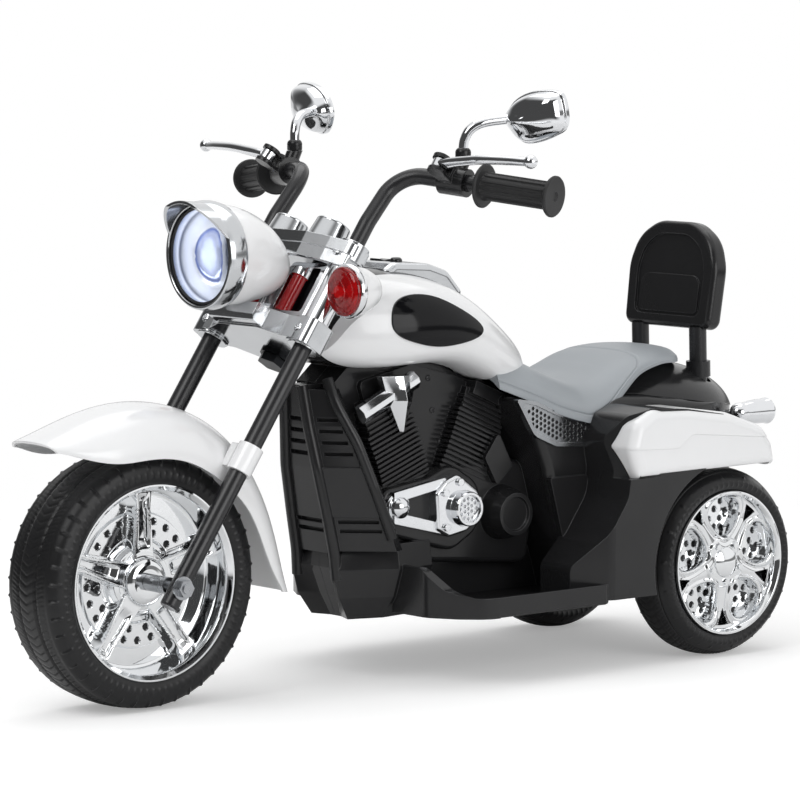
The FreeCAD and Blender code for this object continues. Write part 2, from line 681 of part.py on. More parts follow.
def console(whole):
    """Plated cap on the tank top with a raised edge, drilled for its switches."""
    side = [(350, 376), (348, 398), (336, 405), (292, 402), (268, 394), (250, 374), (250, 360)]
    cap = slab(side, -29, 29, [0, 6, 10, 20, 14, 6, 0])
    cap = softened(cap, 7, lambda p: abs(abs(p.y) - 29) < 0.01 and p.z > 385)
    cap = biggest(cap.cut(whole))
    holes = [rod(V(322, 12, 380), V(322, 12, 420), 6.35), box(313.5, 330.5, -19, -5, 380, 420)]
    holes.append(rod(V(322, -21.5, 400.5), V(322, -2.5, 400.5), 1.55))
    return cap.cut(holes)


# Seat and rear deck

SEAT = [(240, 72, 316, 282), (222, 80, 315, 274), (198, 86, 308, 264), (172, 88.5, 297, 253), (148, 89, 287, 246),
        (128, 88, 282, 243), (104, 84, 284, 252), (80, 78, 292, 268), (52, 71, 302, 285), (20, 66, 306, 293),
        (-8, 57, 306, 293), (-26, 43, 303, 292), (-38, 27, 298, 290), (-44, 14, 294, 289)]


def seat_section(x, half, top, edge, down):
    rise = top - edge
    crown = [(1.0, 0), (0.93, 0.36), (0.62, 0.86), (0, 1), (-0.62, 0.86), (-0.93, 0.36), (-1.0, 0)]
    upper = [V(x, half * k, edge + rise * m) for k, m in crown]
    lower = [V(x, -half, edge - 3), V(x, -0.7 * half, edge - 3 + down * rise),
             V(x, 0, edge - 3 + 1.2 * down * rise), V(x, 0.7 * half, edge - 3 + down * rise), V(x, half, edge - 3)]
    return Part.Wire([spline(upper), line(upper[-1], lower[0]), spline(lower), line(lower[-1], upper[0])])


def seat():
    return Part.makeLoft([seat_section(x, h, t, e, 0.3) for x, h, t, e in SEAT], True, False)


def seat_clearance():
    """The seat, and the seat with the space above it, used to shape what lies under it."""
    room = [seat_section(x, h + 0.2, t + 70, e - 0.2, 0.3 * (t - e) / (t + 70 - e)) for x, h, t, e in SEAT]
    return seat(), Part.makeLoft(room, True, False)


def half_round(a, b, c, centre):
    ball = Part.makeSphere(1.0)
    m = FreeCAD.Matrix()
    m.scale(a, b, c)
    ball = ball.transformGeometry(m)
    ball.translate(centre)
    return ball


def rear_deck(seat_form):
    """Domed cover behind and under the seat, with a ridge round its foot."""
    dome = half_round(112, 86, 58, V(-5, 0, 232))
    foot = [(130, 262), (50, 262), (-150, 232), (-150, 320), (130, 320)]
    dome = dome.common(slab(foot, -120, 120))
    room = slab([(90, 240), (-150, 200), (-150, 282), (90, 282)], -110, 110)
    inside = half_round(106, 80, 52, V(-5, 0, 232)).common(room)
    dome = biggest(dome.cut([seat_form, inside]))
    for side in (-1, 1):
        dome = dome.cut(rod(V(-56.15, side * 43, 245), V(-54.65, side * 43, 295), 12.5))
    return dome


def arched(foot, width, shoulder, top):
    """Outline of a pad with an arched head, as (y, z) points with their corner radii."""
    rise = top - shoulder
    points = [(-width + 2, foot), (width - 2, foot), (width, shoulder), (0.84 * width, shoulder + 0.64 * rise),
              (0.42 * width, top)]
    points += [(-y, z) for y, z in points[:1:-1]]
    return points, [11, 11, 50, 44, 40, 40, 44, 50]


def backrest():
    """Arched pad with a raised border and a stepped panel, leaning back, on two posts with collars."""
    outline, radii = arched(320, 65, 384, 429)
    pad = wall(outline, -10.5, 10.5, radii)
    pad = softened(pad, 6, lambda p: abs(p.x - 10.5) < 0.01)
    pad = softened(pad, 7, lambda p: abs(p.x + 10.5) < 0.01)
    inner, radii = arched(332, 50, 379, 416)
    pad = pad.cut(wall(inner, 7.5, 20, [0.8 * r for r in radii]))
    panel = wall([(-43, 335), (43, 335), (43, 374), (-43, 374)], 6, 9.4, [5, 5, 12, 12])
    pad = joined(pad, panel)
    pad.rotate(V(0, 0, 320), Y, -BACK_LEAN)
    pad.translate(V(-58, 0, 0))
    posts = []
    for side in (-1, 1):
        foot = V(-56, side * 43, 250)
        top = V(-54.5, side * 43, 300)
        post = rod(foot, top + (top - foot) * 0.46, 9)
        collar = rod(foot + (top - foot) * 0.44, foot + (top - foot) * 0.76, 12.5)
        posts.append(joined(post, collar))
    return biggest(pad.cut(posts)), Part.makeCompound(posts)


# Saddlebags and lamps at the back

BAG = [(138, 220), (131, 243), (108, 257), (60, 255), (5, 247), (-42, 231), (-58, 212), (-63, 190), (126, 188)]


def saddlebag(deck, guard):
    """White cover over the wheel, hollow below, with a step across its outer face."""
    bag = slab(BAG, 108, 154, [6, 14, 20, 30, 40, 20, 12, 3, 3])
    bag = softened(bag, 11, lambda p: abs(p.y - 154) < 0.01 and p.z > 191)
    step = slab([(150, 219), (76, 216), (56, 229), (-70, 217), (-70, 173), (150, 173)], 100, 200, [0, 8, 8, 0, 0, 0])
    low = bag.common(step)
    low.translate(V(0, -1.6, 0))
    bag = joined(bag.cut(step), low)
    middle = V(38, 120, 218)
    inside = [(middle.x + (x - middle.x) * 0.93, middle.z + (z - middle.z) * (0.87 if z > 195 else 1.4))
              for x, z in BAG]
    bag = bag.cut(slab(inside, 100, 149, 6))
    return biggest(bag.cut([deck, guard]))


def tail_lamp():
    """Plated bullet on a stalk, open at the back, with a turned rim."""
    c = V(0, 84, 236)
    body = turned([(-108, 0), (-108, 10), (-114, 10.5), (-114, 12.5), (-112, 13.5), (-106, 12.5),
                   ((-92, 12), (-78, 10)), cap(-78, 10, 14)], c, X, Z)
    return joined(body, rod(V(-70, 60, 232), V(-84, 84, 236), 5))


# Body halves with the engine, frame tubes, radiator side, mudguard and footboard

FRONT_LINE = [(440, 13, 291), (435.6, 17.6, 252), (429.8, 24, 211), (419.8, 27.6, 162), (413, 29, 127),
              (411, 30, 102)]
EDGE_LINE = [(421.5, 35, 291), (411.6, 48.3, 252), (396.5, 58.5, 211), (379.6, 66, 162), (368, 70, 127)]


def neck():
    """Sleeve round the stem, gusseted back into the body."""
    s0, s1 = LOWER_YOKE + 14, UPPER_YOKE - 4.5
    solid = stem_cylinder(20, s0, s1 - 12).fuse(stem_cylinder(17, s0, s1))
    web = box(-STEM_BACK - 120, -STEM_BACK, -26, 26, s0 + 1, s1 - 13)
    return on_fork(solid.fuse(web))


def cylinder_block(foot, lean):
    """Finned engine cylinder seen from the side, leaning from its foot."""
    parts = [box(-24, 24, 20, 42, -6, 84)]
    for i in range(16):
        w = 30 if i < 13 else 26
        parts.append(box(-w, w, 20, 49 - 0.06 * (i - 7) ** 2, i * 4.9, i * 4.9 + 2.5))
    parts.append(box(-20, 20, 20, 49, 79, 92))
    solid = joined(*parts)
    solid.rotate(V(0, 0, 0), Y, lean)
    solid.translate(V(foot[0], 0, foot[1]))
    return solid


def engine_side():
    """Crankcase with its cam chest, two finned cylinders and the round cap boss."""
    case = [(376, 192), (372, 136), (360, 116), (180, 100), (171, 166), (189, 204), (237, 208), (305, 202)]
    solid = slab(case, 18, 46, [12, 12, 10, 10, 20, 14, 20, 20])
    solid = softened(solid, 6, lambda p: abs(p.y - 46) < 0.01)
    chest = slab([(375, 188), (317, 196), (287, 208), (251, 186), (251, 142), (287, 122), (373, 146)], 38, 56,
                 [12, 20, 24, 24, 24, 24, 16])
    chest = softened(chest, 4, lambda p: abs(p.y - 56) < 0.01)
    boss = turned([(38, 0), (38, 30), (48, 27), (58, 25), (70, 21), (70, 17), (67, 16), (67, 0)],
                  V(216, 0, 154), Y, Z)
    fin = slab([(243, 210), (225, 234), (207, 200), (227, 182)], 38, 54, 3)
    return joined(solid, chest, boss, fin, cylinder_block((336, 192), 21), cylinder_block((267, 194), -23))


def mudguard():
    """Rounded column in front of the bag, over a wider flare that runs down to the footboard."""
    side = [(12, 246), (60, 254), (104, 258), (130, 250), (142, 228), (136, 195), (140, 170), (165, 135),
            (195, 105), (195, 72), (80, 72), (12, 150)]
    solid = slab(side, BODY_HALF - 2, 150, [0, 20, 20, 14, 18, 30, 30, 40, 12, 0, 0, 0])
    column = plate([(10, 60), (10, 160), (70, 160), (130, 138), (150, 96), (150, 60)], 189, 270,
                   [0, 0, 60, 40, 20, 0])
    flare = plate([(10, 60), (10, 160), (60, 160), (160, 150), (200, 122), (200, 60)], 40, 189,
                  [0, 0, 0, 26, 10, 0])
    solid = solid.common(joined(column, flare))
    panel = slab([(187, 189), (138, 189), (138, 120), (168, 120)], BODY_HALF - 4, BODY_HALF + 3.5, [2, 2, 2, 6])
    bracket = slab([(190, 72), (174, 72), (160, 112), (172, 116)], BODY_HALF, BODY_HALF + 14, 2)
    return joined(solid, panel, bracket).cut(rod(V(0, 60, REAR_R), V(0, 170, REAR_R), REAR_R + 9))


def footboard():
    """Tray with a raised outer lip, turned up at the toe and ribbed across its floor."""
    outline = [(160, 50), (160, 148), (318, 148), (340, 128), (357, 100), (358, 50)]
    radii = [0, 8, 30, 40, 20, 0]
    base = plate(outline, 68, 88, radii)
    base = softened(base, 3, lambda p: p.z < 68.1 and p.y > 55)
    room = [(166, 40), (166, 143), (316, 143), (336, 125), (352, 97), (353, 40)]
    tray = base.cut(plate(room, 74, 140, [0, 5, 27, 36, 18, 0]))
    toe = slab([(304, 68), (358, 68), (358, 116), (350, 116), (334, 92), (310, 75)], 50, 150, [0, 0, 2, 6, 20, 14])
    slope = wall([(50, 60), (50, 122), (92, 116), (116, 94), (150, 86), (150, 60)], 290, 400, [0, 0, 24, 24, 0, 0])
    toe = toe.common(plate(outline, 60, 140, radii)).common(slope)
    ribs = [box(176 + 18 * i, 182 + 18 * i, 84, 138, 73, 76) for i in range(8)]
    return joined(tray, toe, *ribs)


def rear_housing():
    """Box under the seat and deck, rounded in plan at the back."""
    side = [(228, 270), (206, 240), (188, 195), (170, 130), (160, 100), (150, 66), (60, 62), (-46, 68), (-84, 112),
            (-100, 168), (-112, 240), (50, 262)]
    solid = slab(side, 0, BODY_HALF, [6, 20, 30, 30, 20, 12, 40, 40, 40, 40, 4, 0])
    solid = softened(solid, 9, lambda p: abs(p.y - BODY_HALF) < 0.01 and p.z < 230 and p.x < 145)
    end = Part.Face(Part.Wire(Part.Ellipse(V(-5, 0, 50), 110, BODY_HALF).toShape())).extrude(V(0, 0, 230))
    return solid.common(joined(end, box(-5, 260, -10, BODY_HALF + 5, 50, 280)))


def level(line, z):
    """Place along a sloping line of (x, y, z) points at a height."""
    for (x0, y0, z0), (x1, y1, z1) in zip(line, line[1:]):
        if z0 >= z >= z1:
            t = (z0 - z) / (z0 - z1)
            return V(x0 + (x1 - x0) * t, y0 + (y1 - y0) * t, z)
    return V(*line[-1])


def cheek_slot(z):
    """One cooling slot in the slanting side of the radiator housing."""
    a, b = level(FRONT_LINE, z), level(EDGE_LINE, z)
    along = b - a
    length = along.Length
    slot = box(9, length - 8, -3, 6, 0, 3.5)
    slot.rotate(V(0, 0, 0), Z, math.degrees(math.atan2(along.y, along.x)))
    slot.translate(a)
    return slot


def cheek_panel():
    """Raised plain panel below the slots of the radiator housing."""
    wires = []
    for z in (212, 164):
        a, b = level(FRONT_LINE, z), level(EDGE_LINE, z)
        along = b - a
        along.normalize()
        out = V(along.y, -along.x, 0) * 2.6
        a, b = a + along * 5, b - along * 5
        wires.append(Part.makePolygon([a, b, b + out, a + out, a]))
    return Part.makeLoft(wires, True, True)


def front_body():
    """Backbone from the radiator to the rear housing, with corner tubes and cheeks."""
    spine = [(414, 291), (403, 231), (386, 167), (377, 127), (366, 66), (150, 62), (150, 262), (214, 262), (240, 284),
             (268, 297), (300, 310), (392, 310)]
    solid = slab(spine, 0, 28)
    shoulder = slab([(386, 292), (356, 192), (206, 200), (206, 262), (262, 290), (320, 306)], 20, 34, 6)
    corner = tube([V(*q) for q in FRONT_LINE], 120, 6)
    edge = tube([V(422, 30, 297), V(421, 40, 275), V(405, 54, 236), V(390, 62, 192), V(373, 68, 143)], 100, 5.5)
    wires = []
    for z in (287, 252, 211, 162, 130):
        a, b = level(FRONT_LINE, z), level(EDGE_LINE, z)
        wires.append(Part.makePolygon([a, b, V(b.x - 12, b.y - 6, z), V(b.x - 12, 0, z), V(a.x - 4, 0, z), a]))
    cheek = Part.makeLoft(wires, True, True)
    cheek = cheek.cut([cheek_slot(z) for z in (256, 245, 234, 223, 157, 148)])
    return joined(solid, shoulder, corner, edge, cheek, cheek_panel())


def skid():
    """Faceted lower front cover with a sharp ridge below each corner tube."""
    stages = [(136, 408, 400, 30, 62), (112, 408, 416, 34, 66), (84, 398, 410, 32, 56), (62, 388, 396, 28, 40)]
    wires = []
    for z, front, ridge, at, side in stages:
        points = [V(316, 0, z), V(316, side - 6, z), V(362, side, z), V(ridge, at, z), V(front, at - 20, z),
                  V(front, 0, z)]
        wires.append(Part.makePolygon(points + points[:1]))
    return Part.makeLoft(wires, True, True)


def bays():
    """Hollows for the battery, the drive unit and the axle."""
    bay = [box(82, 180, 0, 34, 136, 252), box(-34, 104, 0, 74, 74, 124), box(226, 330, 0, 20, 120, 270)]
    return bay + [rod(REAR_AXLE - Y * 100, REAR_AXLE + Y * 100, REAR_AXLE_R + 0.05)]


def body_half():
    solid = joined(rear_housing(), front_body(), engine_side(), skid(), mudguard(), footboard())
    solid = solid.fuse(neck().common(box(300, 500, 0, 60, 200, 500))).removeSplitter()
    return solid


def radiator():
    """Front grille between the corner tubes, with two groups of cooling fins."""
    wires = []
    for x, half, z in FRONT_LINE[:5]:
        corners = [V(x, half - 4, z), V(x, 4 - half, z), V(x - 26, 4 - half, z), V(x - 26, half - 4, z)]
        wires.append(Part.makePolygon(corners + corners[:1]))
    solid = Part.makeLoft(wires, True, True)
    cuts = []
    for z in (256, 245, 234, 223, 157, 148):
        at = level(FRONT_LINE, z)
        cuts.append(box(at.x - 5, 460, 7 - at.y, at.y - 7, z, z + 4))
    return solid.cut(cuts)


# Plated trim on the engine and the perforated side panel

def rocker_cover():
    """Slanting bar with a roof edge, crossed by a ridged arrow that points down."""
    start, end = V(399, 0, 262), V(331, 0, 293)
    along = end - start
    across = V(-along.z, 0, along.x)
    across.normalize()
    roof = [(-8.5, 47), (8.5, 47), (8.5, 54), (2.5, 59), (-2.5, 59), (-8.5, 54)]
    outline = [start + across * w + Y * h for w, h in roof]
    bar = Part.Face(Part.makePolygon(outline + outline[:1])).extrude(along)
    wires = []
    for x, z, half, edge, ridge in ((354, 298, 21, 55, 62), (352, 274, 15, 55, 66), (347, 243, 2.5, 51, 54)):
        points = [V(x - half, 47, z), V(x - half, edge, z), V(x, ridge, z), V(x + half, edge, z), V(x + half, 47, z)]
        wires.append(Part.makePolygon(points + points[:1]))
    return joined(bar, Part.makeLoft(wires, True, True))


def engine_trim():
    """Rocker cover with its pointed tail, and the cam cover with a drilled round port."""
    bar = rocker_cover()
    core = turned([(50, 0), (50, 15), (60, 14.5), (62, 13), (62, 10.5), (66, 10), cap(66, 10, 5)],
                  V(359, 0, 171), Y, Z)
    arms = slab([(367, 186), (303, 196), (297, 188), (361, 177), (361, 166), (293, 148), (297, 139), (367, 156)],
                52, 64, 2)
    lobe = slab([(305, 193), (289, 199), (262, 180), (260, 156), (278, 142), (301, 138), (315, 146), (317, 182)],
                54, 68, [6, 8, 10, 12, 12, 6, 5, 5])
    lobe = softened(lobe, 3, lambda p: abs(p.y - 68) < 0.01)
    middle = V(282, 0, 165)
    port = turned([(62, 0), (62, 18), (76, 17), (77.5, 16), (77.5, 13.5), (74, 13), (74, 0)], middle, Y, Z)
    dimples = []
    for spread, count in ((0, 1), (5, 6), (10, 12)):
        dimple = rod(middle + V(0, 72, spread), middle + V(0, 76, spread), 1.6)
        dimples += ringed(dimple, count, middle, Y)
    bolts = [rod(V(x, 66, z), V(x, 71, z), 3.6) for x, z in ((307, 182), (288, 191), (305, 148), (266, 172))]
    cam = joined(core, arms, lobe, port, *bolts).cut(dimples)
    return bar, cam


def side_mesh(seat_form):
    """Plated frame round a perforated sheet under the seat."""
    outline = [(232, 270), (208, 232), (180, 220), (128, 216), (122, 246), (146, 247), (174, 252), (206, 266)]
    frame = slab(outline, BODY_HALF - 4, BODY_HALF + 4, [2, 20, 16, 3, 3, 10, 20, 10])
    inner = [(225, 266), (206, 236), (179, 224), (131, 220), (126, 243), (147, 244), (175, 249), (206, 262)]
    recess = slab(inner, BODY_HALF + 1, BODY_HALF + 10, 2)
    frame = frame.cut(recess)
    holes = []
    for i in range(18):
        for j in range(10):
            place = V(130 + 5.2 * i, BODY_HALF + 5, 220 + 5.2 * j + (2.6 if i % 2 else 0))
            around = [place + V(x, 0, z) for x, z in ((2.6, 0), (-2.6, 0), (0, 2.6), (0, -2.6))]
            if all(recess.isInside(q, 0.01, False) for q in around):
                holes.append(rod(place - Y * 12, place - Y * 2, 1.9))
    return frame.cut(holes + [seat_form])


# Working pieces inside, the pedal and the switches

SOCKET = V(163, -BODY_HALF, 190)
PEDAL_PIN = V(256, 0, 84)


def battery():
    case = softened(box(98, 168, -24, 24, 142, 236), 2, lambda p: True)
    posts = [box(110, 116, y - 3, y + 3, 236, 243) for y in (-14, 14)]
    return joined(case, *posts)


def drive_unit():
    """Gearbox round the axle with its motor behind."""
    case = slab([(-28, 80), (-28, 112), (10, 121), (66, 121), (70, 90), (58, 78)], -70, -30, 8)
    motor = rod(V(44, -30, 100), V(44, 20, 100), 18)
    neck_part = rod(V(44, 20, 100), V(44, 26, 100), 6)
    bearing = rod(REAR_AXLE - Y * 72, REAR_AXLE - Y * 28, 12)
    return joined(case, motor, neck_part, bearing).cut(rod(REAR_AXLE - Y * 100, REAR_AXLE, REAR_AXLE_R + 0.05))


def rear_axle():
    parts = [rod(REAR_AXLE - Y * 138, REAR_AXLE + Y * 138, REAR_AXLE_R)]
    for side in (-1, 1):
        parts.append(rod(REAR_AXLE + Y * side * 132.5, REAR_AXLE + Y * side * 140, 7.6))
        parts.append(rod(REAR_AXLE + Y * side * 84.6, REAR_AXLE + Y * side * 92.6, 10))
    return joined(*parts)


def charge_socket():
    """Flanged socket set into the right side below the seat."""
    profile = [(-9, 0), (-12, 0), (-12, 6), (0, 6), (0, 9), (2, 9), (2, 2.75), (-9, 2.75)]
    return turned(profile, SOCKET, Y * -1, Z)


def pedal():
    """Accelerator plate hinged at its heel end on the right footboard."""
    side = [(252, 84), (258, 91), (308, 107), (311, 101), (266, 86), (260, 80)]
    solid = slab(side, -134, -98, [2, 6, 2, 2, 6, 2])
    solid = joined(solid, rod(PEDAL_PIN - Y * 134, PEDAL_PIN - Y * 98, 5.5))
    cuts = [rod(PEDAL_PIN - Y * 140, PEDAL_PIN - Y * 90, 2.55)]
    for x in (270, 280, 290, 300):
        z = 93.5 + (x - 258) * 0.32
        cuts.append(rod(V(x, -140, z), V(x, -90, z), 2))
    return solid.cut(cuts)


def pedal_hinge():
    """Two ears on the right footboard and the pin between them."""
    ear = [(248, 70), (248, 84), (252, 90), (260, 90), (264, 84), (264, 70)]
    ears = [slab(ear, y, y + 5, [0, 3, 5, 5, 3, 0]) for y in (-139.5, -97.6)]
    return joined(rod(PEDAL_PIN - Y * 139, PEDAL_PIN - Y * 93, 2.5), *ears)


def switches():
    """Round push switch and a two-way rocker on its pin, in the console."""
    push = turned([(400, 0), (400, 6.3), (404, 6.3), (404.6, 6), ((407.4, 5.2), (408.5, 3)), (408.5, 0)],
                  V(322, 12, 0), Z, X)
    side = [(314.4, 398.5), (314.4, 406), (322, 404.4), (329.6, 407), (329.6, 398.5), (322, 397)]
    rocker = slab(side, -18.5, -5.5, [2, 1, 6, 1, 2, 3])
    return push, joined(rocker, rod(V(322, -21, 400.5), V(322, -3, 400.5), 1.5))


# Assembly

def chassis(nodes):
    seat_form, over = seat_clearance()
    whole, spine, panel, inlay = tank()
    seat_form = biggest(seat_form.cut(whole))
    spine = biggest(spine)
    panel = biggest(panel)
    inlay = biggest(inlay)
    cap = console(whole)
    deck = rear_deck(over)
    pad, posts = backrest()
    bag = saddlebag(deck, mudguard())
    mesh = side_mesh(over)
    rocker_cover, cam_cover = engine_trim()
    whole_tank = [spine, panel, mirrored(panel)]
    grille = radiator()
    stem_hole = on_fork(stem_cylinder(STEM_R + 0.05, 200, 400))
    others = whole_tank + [over, deck, bag, mesh, rocker_cover, cam_cover, grille, stem_hole]
    left = biggest(biggest(body_half().cut(others)).cut(bays()))
    right = mirrored(left)
    socket = charge_socket()
    right = biggest(right.cut(rod(SOCKET - Y * 5, SOCKET + Y * 12, 6)).cut(socket))
    nodes["body_left"] = left
    nodes["body_right"] = joined(right, pedal_hinge())
    nodes["radiator"] = grille
    nodes["tank_spine"] = spine
    nodes["tank_panel_left"] = panel
    nodes["tank_panel_right"] = mirrored(panel)
    nodes["tank_inlays"] = Part.makeCompound([inlay, mirrored(inlay)])
    nodes["console"] = cap
    nodes["seat"] = seat_form
    nodes["rear_deck"] = deck
    nodes["saddlebag_left"] = bag
    nodes["saddlebag_right"] = mirrored(bag)
    nodes["backrest"] = pad
    nodes["backrest_posts"] = posts
    lamp = biggest(tail_lamp().cut([deck, bag, left]))
    nodes["tail_lamps"] = Part.makeCompound([lamp, mirrored(lamp)])
    nodes["engine_trim"] = Part.makeCompound([rocker_cover, cam_cover, mirrored(rocker_cover), mirrored(cam_cover)])
    nodes["side_meshes"] = Part.makeCompound([mesh, mirrored(mesh)])
    nodes["battery"] = battery()
    nodes["drive_unit"] = drive_unit()
    nodes["rear_axle"] = rear_axle()
    nodes["charge_socket"] = socket
    nodes["pedal"] = pedal()
    nodes["switch_power"], nodes["switch_direction"] = switches()


def steering(nodes):
    nodes["fork_leg_left"] = fork_leg()
    form, shell, bezel, reflector, lens = headlamp()
    rods = damper_rods()
    nodes["lower_yoke"] = biggest(lower_yoke().cut(form))
    nodes["upper_yoke"] = biggest(upper_yoke().cut(form))
    nodes["steering_stem"] = steering_stem()
    nodes["fork_shroud"] = biggest(fork_shroud().cut([form, rods]))
    nodes["damper_rods"] = rods
    nodes["front_axle"] = front_axle()
    nodes["front_fender"] = front_fender()
    nodes["headlamp_shell"] = shell
    nodes["headlamp_bezel"] = bezel
    nodes["headlamp_reflector"] = reflector
    nodes["headlamp_lens"] = lens
    housing, rim, red = turn_signal()
    nodes["signal_left"] = housing
    nodes["signal_bezels"] = Part.makeCompound([rim, mirrored(rim)])
    nodes["signal_lenses"] = Part.makeCompound([red, mirrored(red)])
    nodes["handlebar_left"] = handlebar()
    nodes["grip_left"] = grip()
    nodes["perch_left"] = perch()
    nodes["lever_left"] = lever()
    nodes["mirror_left"], nodes["mirror_glass_left"] = mirror()
    for name in ("fork_leg", "signal", "handlebar", "grip", "perch", "lever", "mirror", "mirror_glass"):
        nodes[name + "_right"] = mirrored(nodes[name + "_left"])


def wheels(nodes):
    nodes["front_tyre"], nodes["front_rim_left"], nodes["front_rim_right"] = front_wheel()
    nodes["rear_tyre_left"], nodes["rear_rim_left"] = rear_wheel()
    nodes["rear_tyre_right"] = mirrored(nodes["rear_tyre_left"])
    nodes["rear_rim_right"] = mirrored(nodes["rear_rim_left"])


nodes = {}
wheels(nodes)
steering(nodes)
chassis(nodes)
for name, shape in nodes.items():
    shape = shape.copy()
    shape.translate(V(-BOX_MIDDLE_X, 0, 0))
    shape.exportStep("parts/" + name + ".step")
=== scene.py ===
import bmesh
import bpy
import math
import numpy as np
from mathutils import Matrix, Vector


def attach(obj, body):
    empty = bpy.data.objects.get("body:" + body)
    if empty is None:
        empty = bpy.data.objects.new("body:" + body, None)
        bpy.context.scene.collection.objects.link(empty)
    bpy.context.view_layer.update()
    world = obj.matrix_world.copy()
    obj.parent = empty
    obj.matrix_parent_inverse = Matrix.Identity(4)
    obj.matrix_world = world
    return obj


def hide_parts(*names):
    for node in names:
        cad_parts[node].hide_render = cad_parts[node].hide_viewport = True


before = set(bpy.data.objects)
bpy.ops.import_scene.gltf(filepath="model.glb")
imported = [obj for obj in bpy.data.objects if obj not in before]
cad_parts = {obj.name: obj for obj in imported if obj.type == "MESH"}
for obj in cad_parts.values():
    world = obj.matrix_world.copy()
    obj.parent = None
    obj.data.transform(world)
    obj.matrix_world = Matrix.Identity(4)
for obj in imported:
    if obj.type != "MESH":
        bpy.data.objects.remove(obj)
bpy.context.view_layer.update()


# Studio. White paper under the wheels that fades into a white room, and three soft boxes. For mirrored rays the room
# is bright behind and above, dark in front as a camera side without lamps is, and has a dark gap where wall meets
# floor.

def linear(colour):
    """An sRGB hex colour as the linear colour that a shader socket takes."""
    share = np.array([int(colour[i:i + 2], 16) for i in (1, 3, 5)]) / 255
    light = np.where(share <= 0.04045, share / 12.92, ((share + 0.055) / 1.055) ** 2.4)
    return (*light.tolist(), 1.0)


def add(tree, kind, values=None, links=None, **settings):
    """One node with its settings, its fixed input values and the sockets that feed its inputs."""
    node = tree.nodes.new(kind)
    for name, value in settings.items():
        setattr(node, name, value)
    for name, value in (values or {}).items():
        node.inputs[name].default_value = value
    for name, socket in (links or {}).items():
        tree.links.new(socket, node.inputs[name])
    return node


def floor_finish(glow, clear_from, clear_to):
    """Matt white paper that glows a little for camera rays and clears away between two distances from the middle."""
    material = bpy.data.materials.new("white_paper")
    material.use_nodes = True
    tree = material.node_tree
    tree.nodes.clear()
    place = add(tree, "ShaderNodeTexCoord").outputs["Object"]
    away = add(tree, "ShaderNodeVectorMath", None, {0: place}, operation="LENGTH")
    clear = add(tree, "ShaderNodeMapRange", {1: clear_from, 2: clear_to}, {0: away.outputs["Value"]},
                interpolation_type="SMOOTHSTEP")
    ray = add(tree, "ShaderNodeLightPath")
    share = add(tree, "ShaderNodeMath", {1: glow}, {0: ray.outputs["Is Camera Ray"]}, operation="MULTIPLY")
    matt = add(tree, "ShaderNodeBsdfDiffuse", {"Color": linear("#F0F0F0")})
    lift = add(tree, "ShaderNodeEmission", {"Color": (1, 1, 1, 1)}, {"Strength": share.outputs[0]})
    paper = add(tree, "ShaderNodeAddShader", None, {0: matt.outputs[0], 1: lift.outputs[0]})
    nothing = add(tree, "ShaderNodeBsdfTransparent")
    both = add(tree, "ShaderNodeMixShader", None, {0: clear.outputs[0], 1: paper.outputs[0], 2: nothing.outputs[0]})
    add(tree, "ShaderNodeOutputMaterial", None, {"Surface": both.outputs[0]})
    return material


floor_mesh = bpy.data.meshes.new("floor")
floor_half = 1.6
floor_corners = [(x * floor_half, y * floor_half, 0) for x, y in ((-1, -1), (1, -1), (1, 1), (-1, 1))]
floor_mesh.from_pydata(floor_corners, [], [(0, 1, 2, 3)])
floor_mesh.materials.append(floor_finish(glow=0.3, clear_from=0.75, clear_to=1.5))
floor = bpy.data.objects.new("floor", floor_mesh)
bpy.context.scene.collection.objects.link(floor)

camera = bpy.data.objects.new("camera", bpy.data.cameras.new("camera"))
camera.data.sensor_width = 36.0
camera.data.lens = 192.40
camera.location = (2.65317, 3.20413, 0.68450)
yaw, pitch = -2.2645, -0.0998
look = Vector((math.cos(pitch) * math.cos(yaw), math.cos(pitch) * math.sin(yaw), math.sin(pitch)))
camera.rotation_euler = look.to_track_quat("-Z", "Y").to_euler()
bpy.context.scene.collection.objects.link(camera)
bpy.context.scene.camera = camera
bpy.context.scene.view_settings.view_transform = "Standard"

lamp_aim = Vector((0, 0, 0.28))
soft_boxes = (("soft_box_front", (1.9, 0.3, 2.0), 1.2, 15), ("soft_box_side", (0.0, 2.8, 1.0), 1.6, 21),
              ("soft_box_top", (-0.6, -0.6, 2.6), 2.0, 18))
for name, place, size, watts in soft_boxes:
    lamp = bpy.data.objects.new(name, bpy.data.lights.new(name, "AREA"))
    lamp.data.size = size
    lamp.data.energy = watts
    lamp.location = place
    lamp.rotation_euler = (lamp_aim - lamp.location).to_track_quat("-Z", "Y").to_euler()
    bpy.context.scene.collection.objects.link(lamp)

room_light, gloom_light, gap_height, gap_depth = 0.6, 0.07, 0.03, 0.85
world = bpy.data.worlds.new("studio")
bpy.context.scene.world = world
world.use_nodes = True
room = world.node_tree
room.nodes.clear()
way = add(room, "ShaderNodeTexCoord")
split = add(room, "ShaderNodeSeparateXYZ", None, {0: way.outputs["Generated"]})
ahead = add(room, "ShaderNodeMapRange", {1: -0.42, 2: 0.3}, {0: split.outputs["X"]}, interpolation_type="SMOOTHSTEP")
below = add(room, "ShaderNodeMapRange", {1: 0.82, 2: 0.62}, {0: split.outputs["Z"]}, interpolation_type="SMOOTHSTEP")
above = add(room, "ShaderNodeMapRange", {1: -0.34, 2: -0.2}, {0: split.outputs["Z"]}, interpolation_type="SMOOTHSTEP")
side = add(room, "ShaderNodeMath", None, {0: ahead.outputs[0], 1: below.outputs[0]}, operation="MULTIPLY")
gloom = add(room, "ShaderNodeMath", None, {0: side.outputs[0], 1: above.outputs[0]}, operation="MULTIPLY")
height = add(room, "ShaderNodeMath", {1: gap_height}, {0: split.outputs["Z"]}, operation="SUBTRACT")
